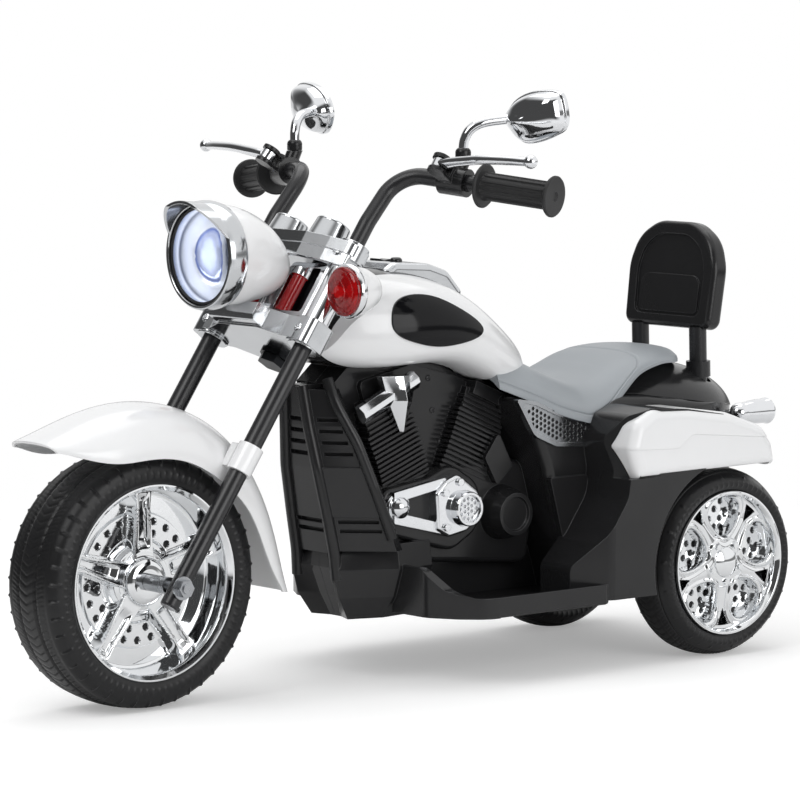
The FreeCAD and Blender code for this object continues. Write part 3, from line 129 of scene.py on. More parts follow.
off_gap = add(room, "ShaderNodeMath", None, {0: height.outputs[0]}, operation="ABSOLUTE")
gap = add(room, "ShaderNodeMapRange", {1: 0.11, 2: 0.04, 4: gap_depth}, {0: off_gap.outputs[0]},
          interpolation_type="SMOOTHSTEP")
dark = add(room, "ShaderNodeMath", None, {0: gloom.outputs[0], 1: gap.outputs[0]}, operation="MAXIMUM")
shade = add(room, "ShaderNodeMapRange", {3: 1.0, 4: gloom_light}, {0: dark.outputs[0]})
ray = add(room, "ShaderNodeLightPath")
mirrored_rays = add(room, "ShaderNodeMath", None, {0: ray.outputs["Is Glossy Ray"],
                                                   1: ray.outputs["Is Transmission Ray"]}, operation="MAXIMUM")
soft = add(room, "ShaderNodeBackground", {"Color": (1, 1, 1, 1), "Strength": room_light})
walls = add(room, "ShaderNodeBackground", {"Color": (1, 1, 1, 1)}, {"Strength": shade.outputs[0]})
white = add(room, "ShaderNodeBackground", {"Color": (1, 1, 1, 1), "Strength": 1.0})
lit = add(room, "ShaderNodeMixShader", None,
          {0: mirrored_rays.outputs[0], 1: soft.outputs[0], 2: walls.outputs[0]})
seen = add(room, "ShaderNodeMixShader", None,
           {0: ray.outputs["Is Camera Ray"], 1: lit.outputs[0], 2: white.outputs[0]})
add(room, "ShaderNodeOutputWorld", None, {"Surface": seen.outputs[0]})


# Body. Two moulded halves with engine block, footboards and mudguards, and the radiator grille between
# them. Black polypropylene from a spark-eroded mould: satin, with a fine even grain.

def finish(name, colour, shade, rough, grain, depth, drift=60.0, edge=0.0, edge_highlight=None, **values):
    """A surface as its mould or coating leaves it: noise of the grain's size in mm lifts it by depth in mm,
    and slower noise moves the colour to its shade and the roughness between its two values.
    Edges catch the light as if rounded by edge mm, and their colour is lifted towards a lighter one given for them: a
    painted highlight along the edges."""
    material = bpy.data.materials.new(name)
    material.use_nodes = True
    tree = material.node_tree
    shader = tree.nodes["Principled BSDF"]
    for socket, value in values.items():
        shader.inputs[socket.replace("_", " ")].default_value = value
    place = add(tree, "ShaderNodeTexCoord").outputs["Object"]
    slow = add(tree, "ShaderNodeTexNoise", {"Scale": 1000 / drift, "Detail": 3.0}, {"Vector": place})
    blend = add(tree, "ShaderNodeMix", {6: linear(colour), 7: linear(shade)}, {0: slow.outputs[0]}, data_type="RGBA")
    bump = add(tree, "ShaderNodeBump", {"Strength": 1.0, "Distance": depth / 1000})
    if edge:
        rounded = add(tree, "ShaderNodeBevel", {"Radius": edge / 1000}, samples=4)
        face = add(tree, "ShaderNodeNewGeometry").outputs["Normal"]
        turn = add(tree, "ShaderNodeVectorMath", None, {0: rounded.outputs[0], 1: face}, operation="DOT_PRODUCT")
        # Painted highlight: where the rounded normal turns away from the face, the colour is lifted towards the lighter
        # edge colour.
        edge_highlight_share = add(tree, "ShaderNodeMapRange", {1: 0.99, 2: 0.75, 4: 0.8}, {0: turn.outputs["Value"]})
        blend = add(tree, "ShaderNodeMix", {7: linear(edge_highlight)}, {0: edge_highlight_share.outputs[0], 6: blend.outputs[2]},
                    data_type="RGBA")
        tree.links.new(rounded.outputs[0], bump.inputs["Normal"])
    tree.links.new(blend.outputs[2], shader.inputs["Base Color"])
    gloss = add(tree, "ShaderNodeMapRange", {1: 0.3, 2: 0.7, 3: rough[0], 4: rough[1]}, {0: slow.outputs[0]})
    tree.links.new(gloss.outputs[0], shader.inputs["Roughness"])
    fine = add(tree, "ShaderNodeTexNoise", {"Scale": 1000 / grain, "Detail": 2.0}, {"Vector": place})
    tree.links.new(fine.outputs[0], bump.inputs["Height"])
    tree.links.new(bump.outputs[0], shader.inputs["Normal"])
    return material


def dress(material, *nodes):
    """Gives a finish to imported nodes."""
    for node in nodes:
        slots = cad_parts[node].data.materials
        slots.clear()
        slots.append(material)


# The real grain is about 0.6 mm, drawn at 2.6 mm so that it shows in a picture.
black_polypropylene = finish("black_polypropylene", "#242425", "#1E1E1F", (0.16, 0.26), 2.6, 0.025, edge=1.2,
                             edge_highlight="#4A4A4C", IOR=1.49, Specular_IOR_Level=0.4)
dress(black_polypropylene, "body_left", "body_right", "radiator", "rear_deck", "backrest", "tank_spine", "perch_left",
      "perch_right", "pedal", "charge_socket")


# Plated trim. Rocker and cam covers, side meshes, console, tail lamps, yokes, sleeves and bezels: ABS with a bright
# vacuum plating, which mirrors the room with the slight waves of the moulding below. Each is screwed or clipped on.

plated_abs = finish("plated_abs", "#E9EAEC", "#DFE1E4", (0.03, 0.07), 16.0, 0.05, drift=40.0, edge=0.8,
                    edge_highlight="#F6F7F8", Metallic=1.0)
dress(plated_abs, "engine_trim", "tail_lamps", "signal_bezels", "fork_shroud")
satin_plating = finish("satin_plated_abs", "#D2D4D6", "#C4C6C9", (0.1, 0.17), 14.0, 0.06, drift=40.0, edge=0.9,
                       edge_highlight="#F4F5F6", Metallic=1.0)
dress(satin_plating, "lower_yoke", "upper_yoke", "headlamp_bezel", "console")
mesh_plating = finish("mesh_plated_abs", "#A9ABAE", "#9DA0A3", (0.14, 0.22), 14.0, 0.05, drift=40.0, edge=0.5,
                      edge_highlight="#F0F1F2", Metallic=1.0)
dress(mesh_plating, "side_meshes")


# White covers. Tank panels, fender, saddlebags, headlamp shell and signal tails: high-gloss white ABS,
# bright and even, with the faint orange peel of a polished mould.

white_abs = finish("white_abs", "#F1F1F2", "#ECEDEE", (0.16, 0.24), 6.0, 0.012, drift=90.0, edge=0.8,
                   edge_highlight="#F6F6F6", IOR=1.53, Coat_Weight=0.35, Coat_Roughness=0.06)
dress(white_abs, "tank_panel_left", "tank_panel_right", "front_fender", "saddlebag_left", "saddlebag_right",
      "headlamp_shell", "signal_left", "signal_right")


# Tank inlays. Black teardrops let into the white panels: piano-black ABS, polished.

piano_black = finish("piano_black_abs", "#0E0E10", "#121214", (0.08, 0.14), 5.0, 0.01, edge=0.8, edge_highlight="#3C3C40",
                     IOR=1.53, Specular_IOR_Level=0.2)
dress(piano_black, "tank_inlays")


# Tubes. Fork legs, handlebars and backrest posts: drawn steel, powder-coated black, with a soft orange peel.

powder_coat = finish("black_powder_coat", "#1D1D1F", "#232325", (0.24, 0.32), 3.0, 0.02, IOR=1.5)
dress(powder_coat, "fork_leg_left", "fork_leg_right", "handlebar_left", "handlebar_right", "backrest_posts")


# Bare steel. Axles and their nuts are zinc-plated, dull bright with a fine grain. The stem is phosphated, dark grey.

zinc_steel = finish("zinc_plated_steel", "#B9BBBE", "#A5A8AC", (0.22, 0.36), 1.5, 0.02, drift=20.0, Metallic=1.0)
dress(zinc_steel, "front_axle", "rear_axle")
dark_steel = finish("phosphated_steel", "#2B2C2E", "#232426", (0.3, 0.42), 1.5, 0.02, drift=20.0, Metallic=1.0)
dress(dark_steel, "steering_stem")


# Works inside. Battery with its paper-grey case, and the gearbox with its motor in nylon: seen from below only.

battery_case = finish("battery_abs", "#4A4E55", "#42464C", (0.4, 0.5), 3.0, 0.03)
gear_nylon = finish("gearbox_nylon", "#D8D6CE", "#CBC9C0", (0.4, 0.52), 3.0, 0.03)
dress(battery_case, "battery")
dress(gear_nylon, "drive_unit")


# Switches on the console: black ABS push button and rocker, polished by use.

switch_abs = finish("switch_abs", "#141415", "#1A1A1B", (0.16, 0.26), 4.0, 0.01, IOR=1.53)
dress(switch_abs, "switch_power", "switch_direction")


# Mirror glass. Silvered acrylic, flat and clear.

silvered_acrylic = finish("silvered_acrylic", "#EDEFF1", "#E6E8EB", (0.02, 0.03), 30.0, 0.004, Metallic=1.0)
dress(silvered_acrylic, "mirror_glass_left", "mirror_glass_right")


# Grips. Soft vinyl sleeves with lengthwise ribs between two round flanges, pushed on the bar ends.

MIDDLE = np.array([318.2, 0.0, 0.0])
AHEAD, UP = (1, 0, 0), (0, 0, 1)
SIDES = ((1, "left"), (-1, "right"))


def row(points):
    """Points in mm from the ground under the rear axle as metres in the frame, whose origin is 318.2 mm ahead."""
    return (np.asarray(points, float) - MIDDLE) / 1000


def through(points, count, closed=False):
    """A smooth curve through points: each span is the cubic whose end slopes are half the chord between neighbours."""
    p = np.asarray(points, float)
    padded = np.vstack([p[-1:], p, p[:2]] if closed else [2 * p[:1] - p[1:2], p, 2 * p[-1:] - p[-2:-1]])
    spans = len(p) if closed else len(p) - 1
    t = np.linspace(0, spans, count, endpoint=not closed)
    i = np.minimum(t.astype(int), spans - 1)
    f = (t - i)[:, None]
    a, b, c, d = padded[i], padded[i + 1], padded[i + 2], padded[i + 3]
    return b + 0.5 * ((c - a) * f + (2 * a - 5 * b + 4 * c - d) * f ** 2 + (3 * (b - c) + d - a) * f ** 3)


def unit(way):
    """A direction of length 1."""
    return np.asarray(way, float) / np.linalg.norm(way)


def lathe(along, radius, centre, axis, up, around):
    """Turned surface: centre plus axis times along, plus radius times the unit circle of up and the way square to both.
    Along and radius are one value a profile point, or a grid of profile points by places around."""
    axis = unit(axis)
    up = unit(np.asarray(up, float) - axis * (np.asarray(up, float) @ axis))
    turn = np.linspace(0, 2 * np.pi, around, endpoint=False)
    circle = np.outer(np.cos(turn), up) + np.outer(np.sin(turn), np.cross(axis, up))
    along = np.broadcast_to(np.reshape(along, (len(along), -1)), (len(along), around))
    radius = np.broadcast_to(np.reshape(radius, (len(radius), -1)), (len(radius), around))
    return np.asarray(centre, float) + along[..., None] * axis + radius[..., None] * circle[None]


def piece(name, grids, material, body, wrap=(False, True), stands_for=()):
    """One mesh from grids of points in mm: neighbours make quads, wrap joins the last row or column to the first,
    points that meet are merged, and the faces are turned outwards."""
    points, quads, first = [], [], 0
    for grid in grids:
        rows, columns = grid.shape[:2]
        index = first + np.arange(rows * columns).reshape(rows, columns)
        index = np.vstack([index, index[:1]]) if wrap[0] else index
        index = np.hstack([index, index[:, :1]]) if wrap[1] else index
        corners = [index[:-1, :-1], index[1:, :-1], index[1:, 1:], index[:-1, 1:]]
        quads.append(np.stack(corners, -1).reshape(-1, 4))
        points.append(row(grid.reshape(-1, 3)))
        first += rows * columns
    points, quads = np.vstack(points), np.vstack(quads)
    mesh = bpy.data.meshes.new(name)
    mesh.vertices.add(len(points))
    mesh.vertices.foreach_set("co", points.astype(np.float32).ravel())
    mesh.loops.add(quads.size)
    mesh.loops.foreach_set("vertex_index", quads.astype(np.int32).ravel())
    mesh.polygons.add(len(quads))
    mesh.polygons.foreach_set("loop_start", np.arange(0, quads.size, 4, dtype=np.int32))
    mesh.update(calc_edges=True)
    mesh.validate()
    form = bmesh.new()
    form.from_mesh(mesh)
    bmesh.ops.remove_doubles(form, verts=form.verts, dist=2e-6)
    bmesh.ops.recalc_face_normals(form, faces=form.faces)
    form.to_mesh(mesh)
    form.free()
    mesh.polygons.foreach_set("use_smooth", np.ones(len(mesh.polygons), bool))
    mesh.materials.append(material)
    made = bpy.data.objects.new(name, mesh)
    bpy.context.scene.collection.objects.link(made)
    split = made.modifiers.new("edges", "EDGE_SPLIT")
    split.split_angle = math.radians(38)
    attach(made, body)
    if stands_for:
        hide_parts(*stands_for)
    return made


def dense(profile, step):
    """A profile of straight runs with points at most step apart. Each corner comes twice, once for either run."""
    p = np.asarray(profile, float)
    runs = [a + (b - a) * np.linspace(0, 1, max(2, int(np.ceil(np.linalg.norm(b - a) / step)) + 1))[:, None]
            for a, b in zip(p[:-1], p[1:])]
    return np.vstack(runs)


soft_vinyl = finish("soft_vinyl", "#262627", "#1E1E1F", (0.5, 0.62), 1.8, 0.03, IOR=1.5)
bar_bend, bar_end = np.array([366.0, 70.0, 494.0]), np.array([312.0, 229.0, 476.0])


def bar_at(y):
    """The middle line of the left bar's straight end, at y mm from the bike's middle."""
    return bar_bend + (bar_end - bar_bend) * (y - bar_bend[1]) / (bar_end[1] - bar_bend[1])


grip_around, rib_count, rib_height = 168, 12, 0.9
grip_start = bar_at(157)
long = np.linalg.norm(bar_end - grip_start)
grip_profile = dense([(0, 8.1), (0, 19.6), (1.2, 21), (2.6, 21), (4, 19.6), (4.4, 14), (7, 12.6), (long - 5, 12.6),
                      (long - 1.8, 13.6), (long - 1.2, 18.6), (long, 19.6), (long + 1.6, 19.6), (long + 2.8, 18.6),
                      (long + 3, 5), (long + 1.6, 3.6), (long + 1.6, 0)], 3)
grip_turn = np.linspace(0, 2 * np.pi, grip_around, endpoint=False)
ribbed = ((grip_profile[:, 0] > 5.5) & (grip_profile[:, 0] < long - 3))[:, None]
grip_rib = rib_height * np.clip(2.4 * np.cos(rib_count * grip_turn) + 0.4, -0.6, 1)[None]
for side, name in SIDES:
    flip = np.array([1, side, 1])
    sleeve = lathe(grip_profile[:, 0], grip_profile[:, 1:] + ribbed * grip_rib, grip_start * flip,
                   (bar_end - bar_bend) * flip, UP, grip_around)
    piece("grip_sleeve_" + name, [sleeve], soft_vinyl, "steering", stands_for=["grip_" + name])


# Footboard sills. Strips of the body's black moulding that close the slit between each footboard and the engine
# side. They lie in the footboard's thickness and run 1 mm into what bounds them.

sill_from, sill_to = 148.0, 318.0
sill = dense([(27, 68.3), (51, 68.3), (51, 73.7), (27, 73.7), (27, 68.3)], 3.0)[:-1]
sill_end = np.zeros_like(sill) + sill.mean(0)
sill_rows = np.stack([sill_end, sill, sill, sill_end])
sill_x = np.array([sill_from, sill_from, sill_to, sill_to])[:, None, None]
sill_x = np.broadcast_to(sill_x, sill_rows.shape[:2] + (1,))
sills = np.concatenate([sill_x, sill_rows], -1)
piece("footboard_sills", [sills, sills * (1, -1, 1)], black_polypropylene, "chassis")


# Mirrors. Plated ABS heads with a domed back and a keel where the stem goes in. Each turns on a pin of its perch, with
# a black knuckle round the pin. The glass is the solid's own.

def rise(x, start, end):
    """A smooth step from 0 at start to 1 at end."""
    s = np.clip((x - start) / (end - start), 0, 1)
    return s * s * (3 - 2 * s)


def bar(path, wide, thick, across, around):
    """A bar along a path: each ring is an oval square to it, wide along the given way and thick over that, and the
    ends are closed."""
    way = np.gradient(path, axis=0)
    way = way / np.linalg.norm(way, axis=1)[:, None]
    first = across - way * (way @ across)[:, None]
    first = first / np.linalg.norm(first, axis=1)[:, None]
    turn = np.linspace(0, 2 * np.pi, around, endpoint=False)[None, :, None]
    ring = path[:, None] + np.reshape(wide, (-1, 1, 1)) * np.cos(turn) * first[:, None]
    ring = ring + np.reshape(thick, (-1, 1, 1)) * np.sin(turn) * np.cross(way, first)[:, None]
    ends = [np.repeat(path[i][None, None], around, 1) for i in (0, -1)]
    return np.concatenate([ends[0], ring, ends[1]], 0)


mirror_out = unit([-0.2, 0.98, 0])
mirror_back = np.array([-0.97, -0.137, 0.12])
mirror_back = unit(mirror_back - mirror_out * (mirror_back @ mirror_out))
mirror_up = np.cross(mirror_out, mirror_back)
mirror_middle, mirror_pin = np.array([274, 168.5, 548]), (336, 128.5, 508)
head_edge = through([(-34, -8), (-30, 11), (-8, 23.5), (24, 25.5), (33.5, 15), (30, -12), (-13, -25.5)], 144,
                    closed=True)
head_rows = through([(0.5, 2), (0.9, 2), (0.935, 1.8), (0.94, 0.2), (0.965, -0.3), (1, 0.8), (1, 4.4), (0.985, 5.6),
                     (0.945, 6.2), (0.925, 8), (0.88, 12), (0.79, 16), (0.62, 19.3), (0.4, 21.3), (0.2, 22),
                     (0, 22)], 110)
head_flat = head_rows[:, :1, None] * head_edge[None]
keel_height, keel_place, keel_reach = 5.5, (-16, -1), (19, 7)
off_keel = (head_flat - keel_place) / keel_reach
keel = keel_height * np.exp(-(off_keel ** 2).sum(-1)) * rise(head_rows[:, 1:], 7, 14)
mirror_head = (mirror_middle + head_flat[..., :1] * mirror_out + head_flat[..., 1:] * mirror_up
               - (head_rows[:, 1:] + keel)[..., None] * mirror_back)
stem_end = mirror_middle - mirror_back * 12 - mirror_out * 20
stem_path = through([(336, 128.5, 517.4), (334.8, 129.5, 527), (330, 132.6, 536.5), (318, 139.4, 543), stem_end], 60)
mirror_stem = bar(stem_path, np.linspace(4.6, 5.2, 60), np.linspace(4.6, 4.8, 60),
                  np.cross(UP, stem_end - stem_path[0]), 40)
knuckle = dense([(7.6, 0), (7.6, 3.1), (0.4, 3.1), (0.4, 7), (1, 7.5), (7, 7.5), (9, 6.9), (10.6, 5.4), (11.2, 3),
                 (11.2, 0)], 1.5)
mirror_foot = lathe(knuckle[:, 0], knuckle[:, 1], mirror_pin, UP, AHEAD, 56)
for side, name in SIDES:
    parts = [grid * (1, side, 1) for grid in (mirror_head, mirror_stem)]
    piece("mirror_plating_" + name, parts, plated_abs, "mirror_" + name, stands_for=["mirror_" + name])
    piece("mirror_knuckle_" + name, [mirror_foot * (1, side, 1)], black_polypropylene, "mirror_" + name)


# Brake levers. Plated castings, oval in section and slightly bowed, with a ball at the end. Each turns on a pin in its
# perch.

lever_way = unit([-17, 110, 2])
lever_ahead = np.array([33.0, 0, 24])
lever_ahead = unit(lever_ahead - lever_way * (lever_ahead @ lever_way))
lever_pin = np.cross(lever_way, lever_ahead)
lever_pivot = bar_at(128) + lever_ahead * 27
lever_line = through([(5.5, 1), (16, 4), (31, 6.8), (60, 9.8), (92, 9.2), (115, 7.6)], 90)
lever_wide = through([(6.4,), (5.6,), (4.8,), (4.6,), (4.4,), (3.8,)], 90)[:, 0]
lever_blade = bar(lever_pivot + lever_line[:, :1] * lever_way + lever_line[:, 1:] * lever_ahead, lever_wide,
                  np.linspace(4.6, 4.2, 90), lever_ahead, 48)
eye = dense([(-4.8, 3.15), (-4.8, 6.8), (-4.2, 7.4), (4.2, 7.4), (4.8, 6.8), (4.8, 3.15), (-4.8, 3.15)], 1.5)
lever_eye = lathe(eye[:, 0], eye[:, 1], lever_pivot, lever_pin, lever_ahead, 56)
ball_radius, ball_place = 6.4, lever_pivot + 117 * lever_way + 7.5 * lever_ahead
bend = np.linspace(0, np.pi, 25)
lever_ball = lathe(-ball_radius * np.cos(bend), ball_radius * np.sin(bend), ball_place, lever_way, lever_ahead, 48)
for side, name in SIDES:
    parts = [grid * (1, side, 1) for grid in (lever_blade, lever_eye, lever_ball)]
    piece("lever_casting_" + name, parts, plated_abs, "lever_" + name, stands_for=["lever_" + name])


# Tyres. Hollow polyethylene blow-mouldings, dull black: a ribbed shoulder, two running grooves and siped blocks on the
# tread, and a row of short teeth next to the rim. The wheel's web is moulded with the tyre.

def ridge(x, width):
    """A smooth bump: 1 in the middle, 0 at width either side."""
    s = np.clip(1 - np.abs(x) / width, 0, 1)
    return s * s * (3 - 2 * s)


def tyre(name, outer, inner, half, radius, seat, count, centre, side, body, fin, node):
    """The half section is carried round the axle and moved along its own normal: fins on the shoulder, grooves and
    chevron sipes on the tread, and teeth by the rim, each a smooth bump of the turn or of the place across."""
    outer = np.vstack([outer, (np.asarray(outer)[-2::-1] * (-1, 1))])
    skin = through(outer, 97)
    slope = np.gradient(skin, axis=0)
    normal = np.stack([-slope[:, 1], slope[:, 0]], 1) / np.linalg.norm(slope, axis=1)[:, None]
    phase = np.linspace(0, count, count * 16, endpoint=False)[None]
    across, reach = skin[:, :1], skin[:, 1:]
    part = np.abs(across) / half
    odd = np.floor(phase) % 2
    drop = (radius - reach) / (radius - seat)
    fins = fin * ridge(phase % 1 - 0.5, 0.12) * rise(part, 0.76, 0.84)
    fins = fins * (1 - rise(drop, 0.4 - 0.1 * odd, 0.52 - 0.1 * odd))
    teeth = 0.7 * ridge((2 * phase) % 1 - 0.5, 0.3) * rise(drop, 0.56, 0.64) * (1 - rise(drop, 0.8, 0.88))
    sipes = -0.8 * ridge((2 * phase + 2.2 * part) % 1 - 0.5, 0.16) * (1 - rise(part, 0.58, 0.64))
    blocks = -0.6 * ridge((4 * phase + 3.4 * part) % 1 - 0.5, 0.24) * rise(part, 0.36, 0.4)
    blocks = blocks * (1 - rise(part, 0.58, 0.62))
    grooves = -1.4 * (ridge(part - 0.33, 0.04) + ridge(part - 0.64, 0.03))
    lift = np.clip(fins + teeth + np.minimum(sipes, blocks) + grooves, -2.2, 2.2)
    along = np.vstack([across + normal[:, :1] * lift, np.repeat(inner[:, :1], lift.shape[1], 1)])
    reach = np.vstack([reach + normal[:, 1:] * lift, np.repeat(inner[:, 1:], lift.shape[1], 1)])
    reach = np.minimum(reach, radius)
    grid = lathe(along, reach, centre, (0, side, 0), (0, 0, 1), lift.shape[1])
    return piece(name, [grid], moulded_tyre, body, wrap=(True, True), stands_for=[node])


# The real surface is nearly smooth; its mould scratches are drawn at 2 mm.
moulded_tyre = finish("tyre_polyethylene", "#222223", "#1B1B1C", (0.3, 0.42), 2.0, 0.03, drift=45.0, IOR=1.51,
                      Specular_IOR_Level=0.3)
front_half = [(-33.5, 90), (-37.5, 94), (-39.5, 100.5), (-38.7, 107.5), (-36.3, 113), (-31.6, 116.5), (-26.1, 118),
              (-13, 119.5), (0, 120)]
front_inside = dense([(33, 90), (3, 90), (3, 14), (-3, 14), (-3, 90), (-33, 90)], 20)
front_middle = (633, 0, 120)
tyre("front_tyre_moulding", front_half, front_inside, 39.5, 120, 93.5, 44, front_middle, 1, "front_wheel", 1.3,
     "front_tyre")
rear_half = [(-23, 70), (-27, 74), (-29, 80.5), (-26.4, 84.9), (-22, 88.5), (-17, 91.8), (-11.6, 94), (0, 95)]
rear_inside = dense([(23, 70), (-15.5, 70), (-15.5, 13), (12, 13), (12, 6.1), (-26, 6.1), (-26, 13), (-22, 13),
                     (-22, 70)], 20)
rear_middle = {1: (0, 119, 95), -1: (0, -119, 95)}
for side, name in SIDES:
    tyre("rear_tyre_moulding_" + name, rear_half, rear_inside, 29, 95, 73.5, 36, rear_middle[side], side,
         "rear_wheel_" + name, 0.9, "rear_tyre_" + name)


# Rims. Plated ABS covers pressed in the tyres. Each front one has five channelled spokes from a stepped hub over a
# drilled brake ring, each rear one five looped petals over a drilled disc, with a domed cap and five nuts.

def fifths(reach, turn):
    """The place in the nearest of five sectors: how far across its middle line and out along it, and the angle."""
    angle = (turn + np.pi / 5) % (2 * np.pi / 5) - np.pi / 5
    return reach * np.sin(angle), reach * np.cos(angle), angle


def drilled(across, out, holes):
    """The distance to the nearest of some holes, each given by its distance from the axle and its angle in degrees."""
    spots = [(r * np.sin(np.radians(a)), r * np.cos(np.radians(a))) for r, a in holes]
    return np.min([np.hypot(across - x, out - z) for x, z in spots], axis=0)


black_below = 8.4


def rim(name, reach, face, back, centre, side, body, node, holes, wrapped):
    """A closed turned form whose front stands off by the face, a grid of distance from the axle by turn. Where the
    given test of the place in a sector holds, its low faces are black: they stand for holes, with the black web
    behind them and painted shade inside them."""
    along = np.vstack([face, np.repeat(back[:, :1], face.shape[1], 1)])
    radius = np.vstack([np.repeat(reach, face.shape[1], 1), np.repeat(back[:, 1:], face.shape[1], 1)])
    made = piece(name, [lathe(along, radius, centre, (0, side, 0), (0, 0, 1), face.shape[1])], plated_rim, body,
                 wrap=(wrapped, True), stands_for=[node])
    made.data.materials.append(moulded_tyre)
    spot = np.empty(len(made.data.polygons) * 3, np.float32)
    made.data.polygons.foreach_get("center", spot)
    away = (spot.reshape(-1, 3) - row([centre])[0]) * 1000 * (side, side, 1)
    across, out, angle = fifths(np.hypot(away[:, 0], away[:, 2]), np.arctan2(away[:, 0], away[:, 2]))
    # Painted shade: low faces where holes would be turn black, for the black web behind a hole and the shade inside it.
    black = holes(across, out, angle) & (away[:, 1] < black_below)
    made.data.polygons.foreach_set("material_index", black.astype(np.int32))


plated_rim = finish("plated_rim_abs", "#F0F1F2", "#E4E6E8", (0.03, 0.06), 22.0, 0.1, drift=30.0, Metallic=1.0)
rim_turn = np.linspace(0, 2 * np.pi, 540, endpoint=False)[None]

front_reach = np.concatenate([np.linspace(5.3, 36, 52), np.linspace(36.6, 82, 56), np.linspace(82.4, 92.9, 26)])
front_reach = front_reach[:, None]
across, out, _ = fifths(front_reach, rim_turn)
wide = 12.5 - 5 * (out - 27) / 58 + 3.5 * rise(out, 68, 86)
part = np.abs(across) / wide
channel = 4.5 * (1 - rise(part, 0.3, 0.62)) * rise(out, 30, 40) * (1 - rise(out, 74, 84))
spoke = 20 * (1 - rise(part, 0.82, 1.2)) - channel
hub = np.interp(front_reach, [5.3, 12, 16, 19, 21.5, 23, 23.4, 24, 27, 28, 29, 31, 34.5, 35.5],
                [28, 28, 27.6, 26.5, 24.8, 22.6, 19, 18, 17.4, 18.2, 17, 15.5, 10, 0]) * (front_reach < 35.5)
dish = np.interp(front_reach, [5, 39.6, 41, 63, 64.4, 81, 83.4, 86.6, 90.4, 92.2, 92.9],
                 [5.3, 5.3, 8.5, 8.5, 5.3, 5.3, 6.5, 33.4, 38, 38, 36.1])
front_holes = [(46, 24), (46, -24), (57, 20), (57, -20), (57, 36), (57, -36)]
dish = dish - 2.4 * rise(drilled(across, out, front_holes), 3.5, 3.1)
blend_width = 0.7
front_face = blend_width * np.log(sum(np.exp(form / blend_width) for form in (spoke, hub, dish)))
front_back = dense([(36.1, 92.9), (32, 89.2), (3.3, 86), (3.3, 14.3), (20.3, 14.3), (20.3, 5.3)], 30)[1:]
for side, name in SIDES:
    rim("front_rim_plating_" + name, front_reach, front_face, front_back, front_middle, side, "front_wheel",
        "front_rim_" + name, lambda x, z, a: drilled(x, z, front_holes) < 3.1, True)

rear_reach = np.linspace(0, 72.6, 138)[:, None]
across, out, _ = fifths(rear_reach, rim_turn)
loop = (np.hypot(across / (20 + 0.3 * (out - 46)), (out - 46) / 19.5) - 1) * 18
apart, apart_out, _ = fifths(rear_reach, rim_turn + np.pi / 5)
corner = np.maximum(np.abs(apart) - 0.42 * (rear_reach - 48), rear_reach - 63.5)
rear_face = np.interp(rear_reach, [0, 8, 24, 26, 50, 64, 66.6, 67, 70.2, 72.2, 72.6],
                      [22, 22, 22, 20, 18, 20, 20.5, 24.5, 29.5, 29.5, 27.4])
rear_face = rear_face + 2.2 * ridge(loop - 2.4, 3.4) + 1.2 * rise(loop, 5, 11) * (1 - rise(rear_reach, 56, 62))
rear_holes = [(34, 0), (34, 16), (34, -16), (43, 10), (43, -10), (52, 0), (52, 17), (52, -17), (60, 8), (60, -8)]
disc = 6 - 2.4 * rise(drilled(across, out, rear_holes), 3.3, 2.9)
rear_face = rear_face + (disc - rear_face) * np.maximum(rise(loop, 0.6, -1), rise(corner, 0.4, -0.8))
cap_dome = (25 + 4.5 * (1 - (rear_reach / 14.5) ** 2)) * (rear_reach < 15)
nut_circle = 20
nuts = 26.2 * rise(np.hypot(apart, apart_out - nut_circle), 3.5, 3.1)
rear_face = np.maximum(rear_face, np.maximum(cap_dome, nuts))
rear_back = dense([(27.4, 72.6), (24, 69.7), (3, 69.5), (3, 8.2), (23.5, 8.2), (23.5, 0)], 30)[1:]


def rear_black(x, z, angle):
    """The disc's holes and the corners between the petals, whose black stands for the web behind and painted shade
    inside.
    """
    return (drilled(x, z, rear_holes) < 2.9) | ((np.abs(angle) > 0.5) & (np.hypot(x, z) > 50))


for side, name in SIDES:
    rim("rear_rim_plating_" + name, rear_reach, rear_face, rear_back, rear_middle[side], side, "rear_wheel_" + name,
        "rear_rim_" + name, rear_black, False)


# Seat. One grey polypropylene moulding with a leather grain: a crease runs close above both lower edges and over the
# front of the hump. It clips on the body and the tank.

seat_grain = finish("seat_polypropylene", "#9CA1A5", "#959A9F", (0.4, 0.5), 2.4, 0.09, drift=120.0, IOR=1.49)
seat_stations = through([(240, 72, 316, 282), (222, 80, 315, 274), (198, 86, 308, 264), (172, 88.5, 297, 253),
                         (148, 89, 287, 246), (128, 88, 282, 243), (104, 84, 284, 252), (80, 78, 292, 268),
                         (52, 71, 302, 285), (20, 66, 306, 293), (-8, 57, 306, 293), (-26, 43, 303, 292),
                         (-38, 27, 298, 290), (-44, 14, 294, 289)], 361)


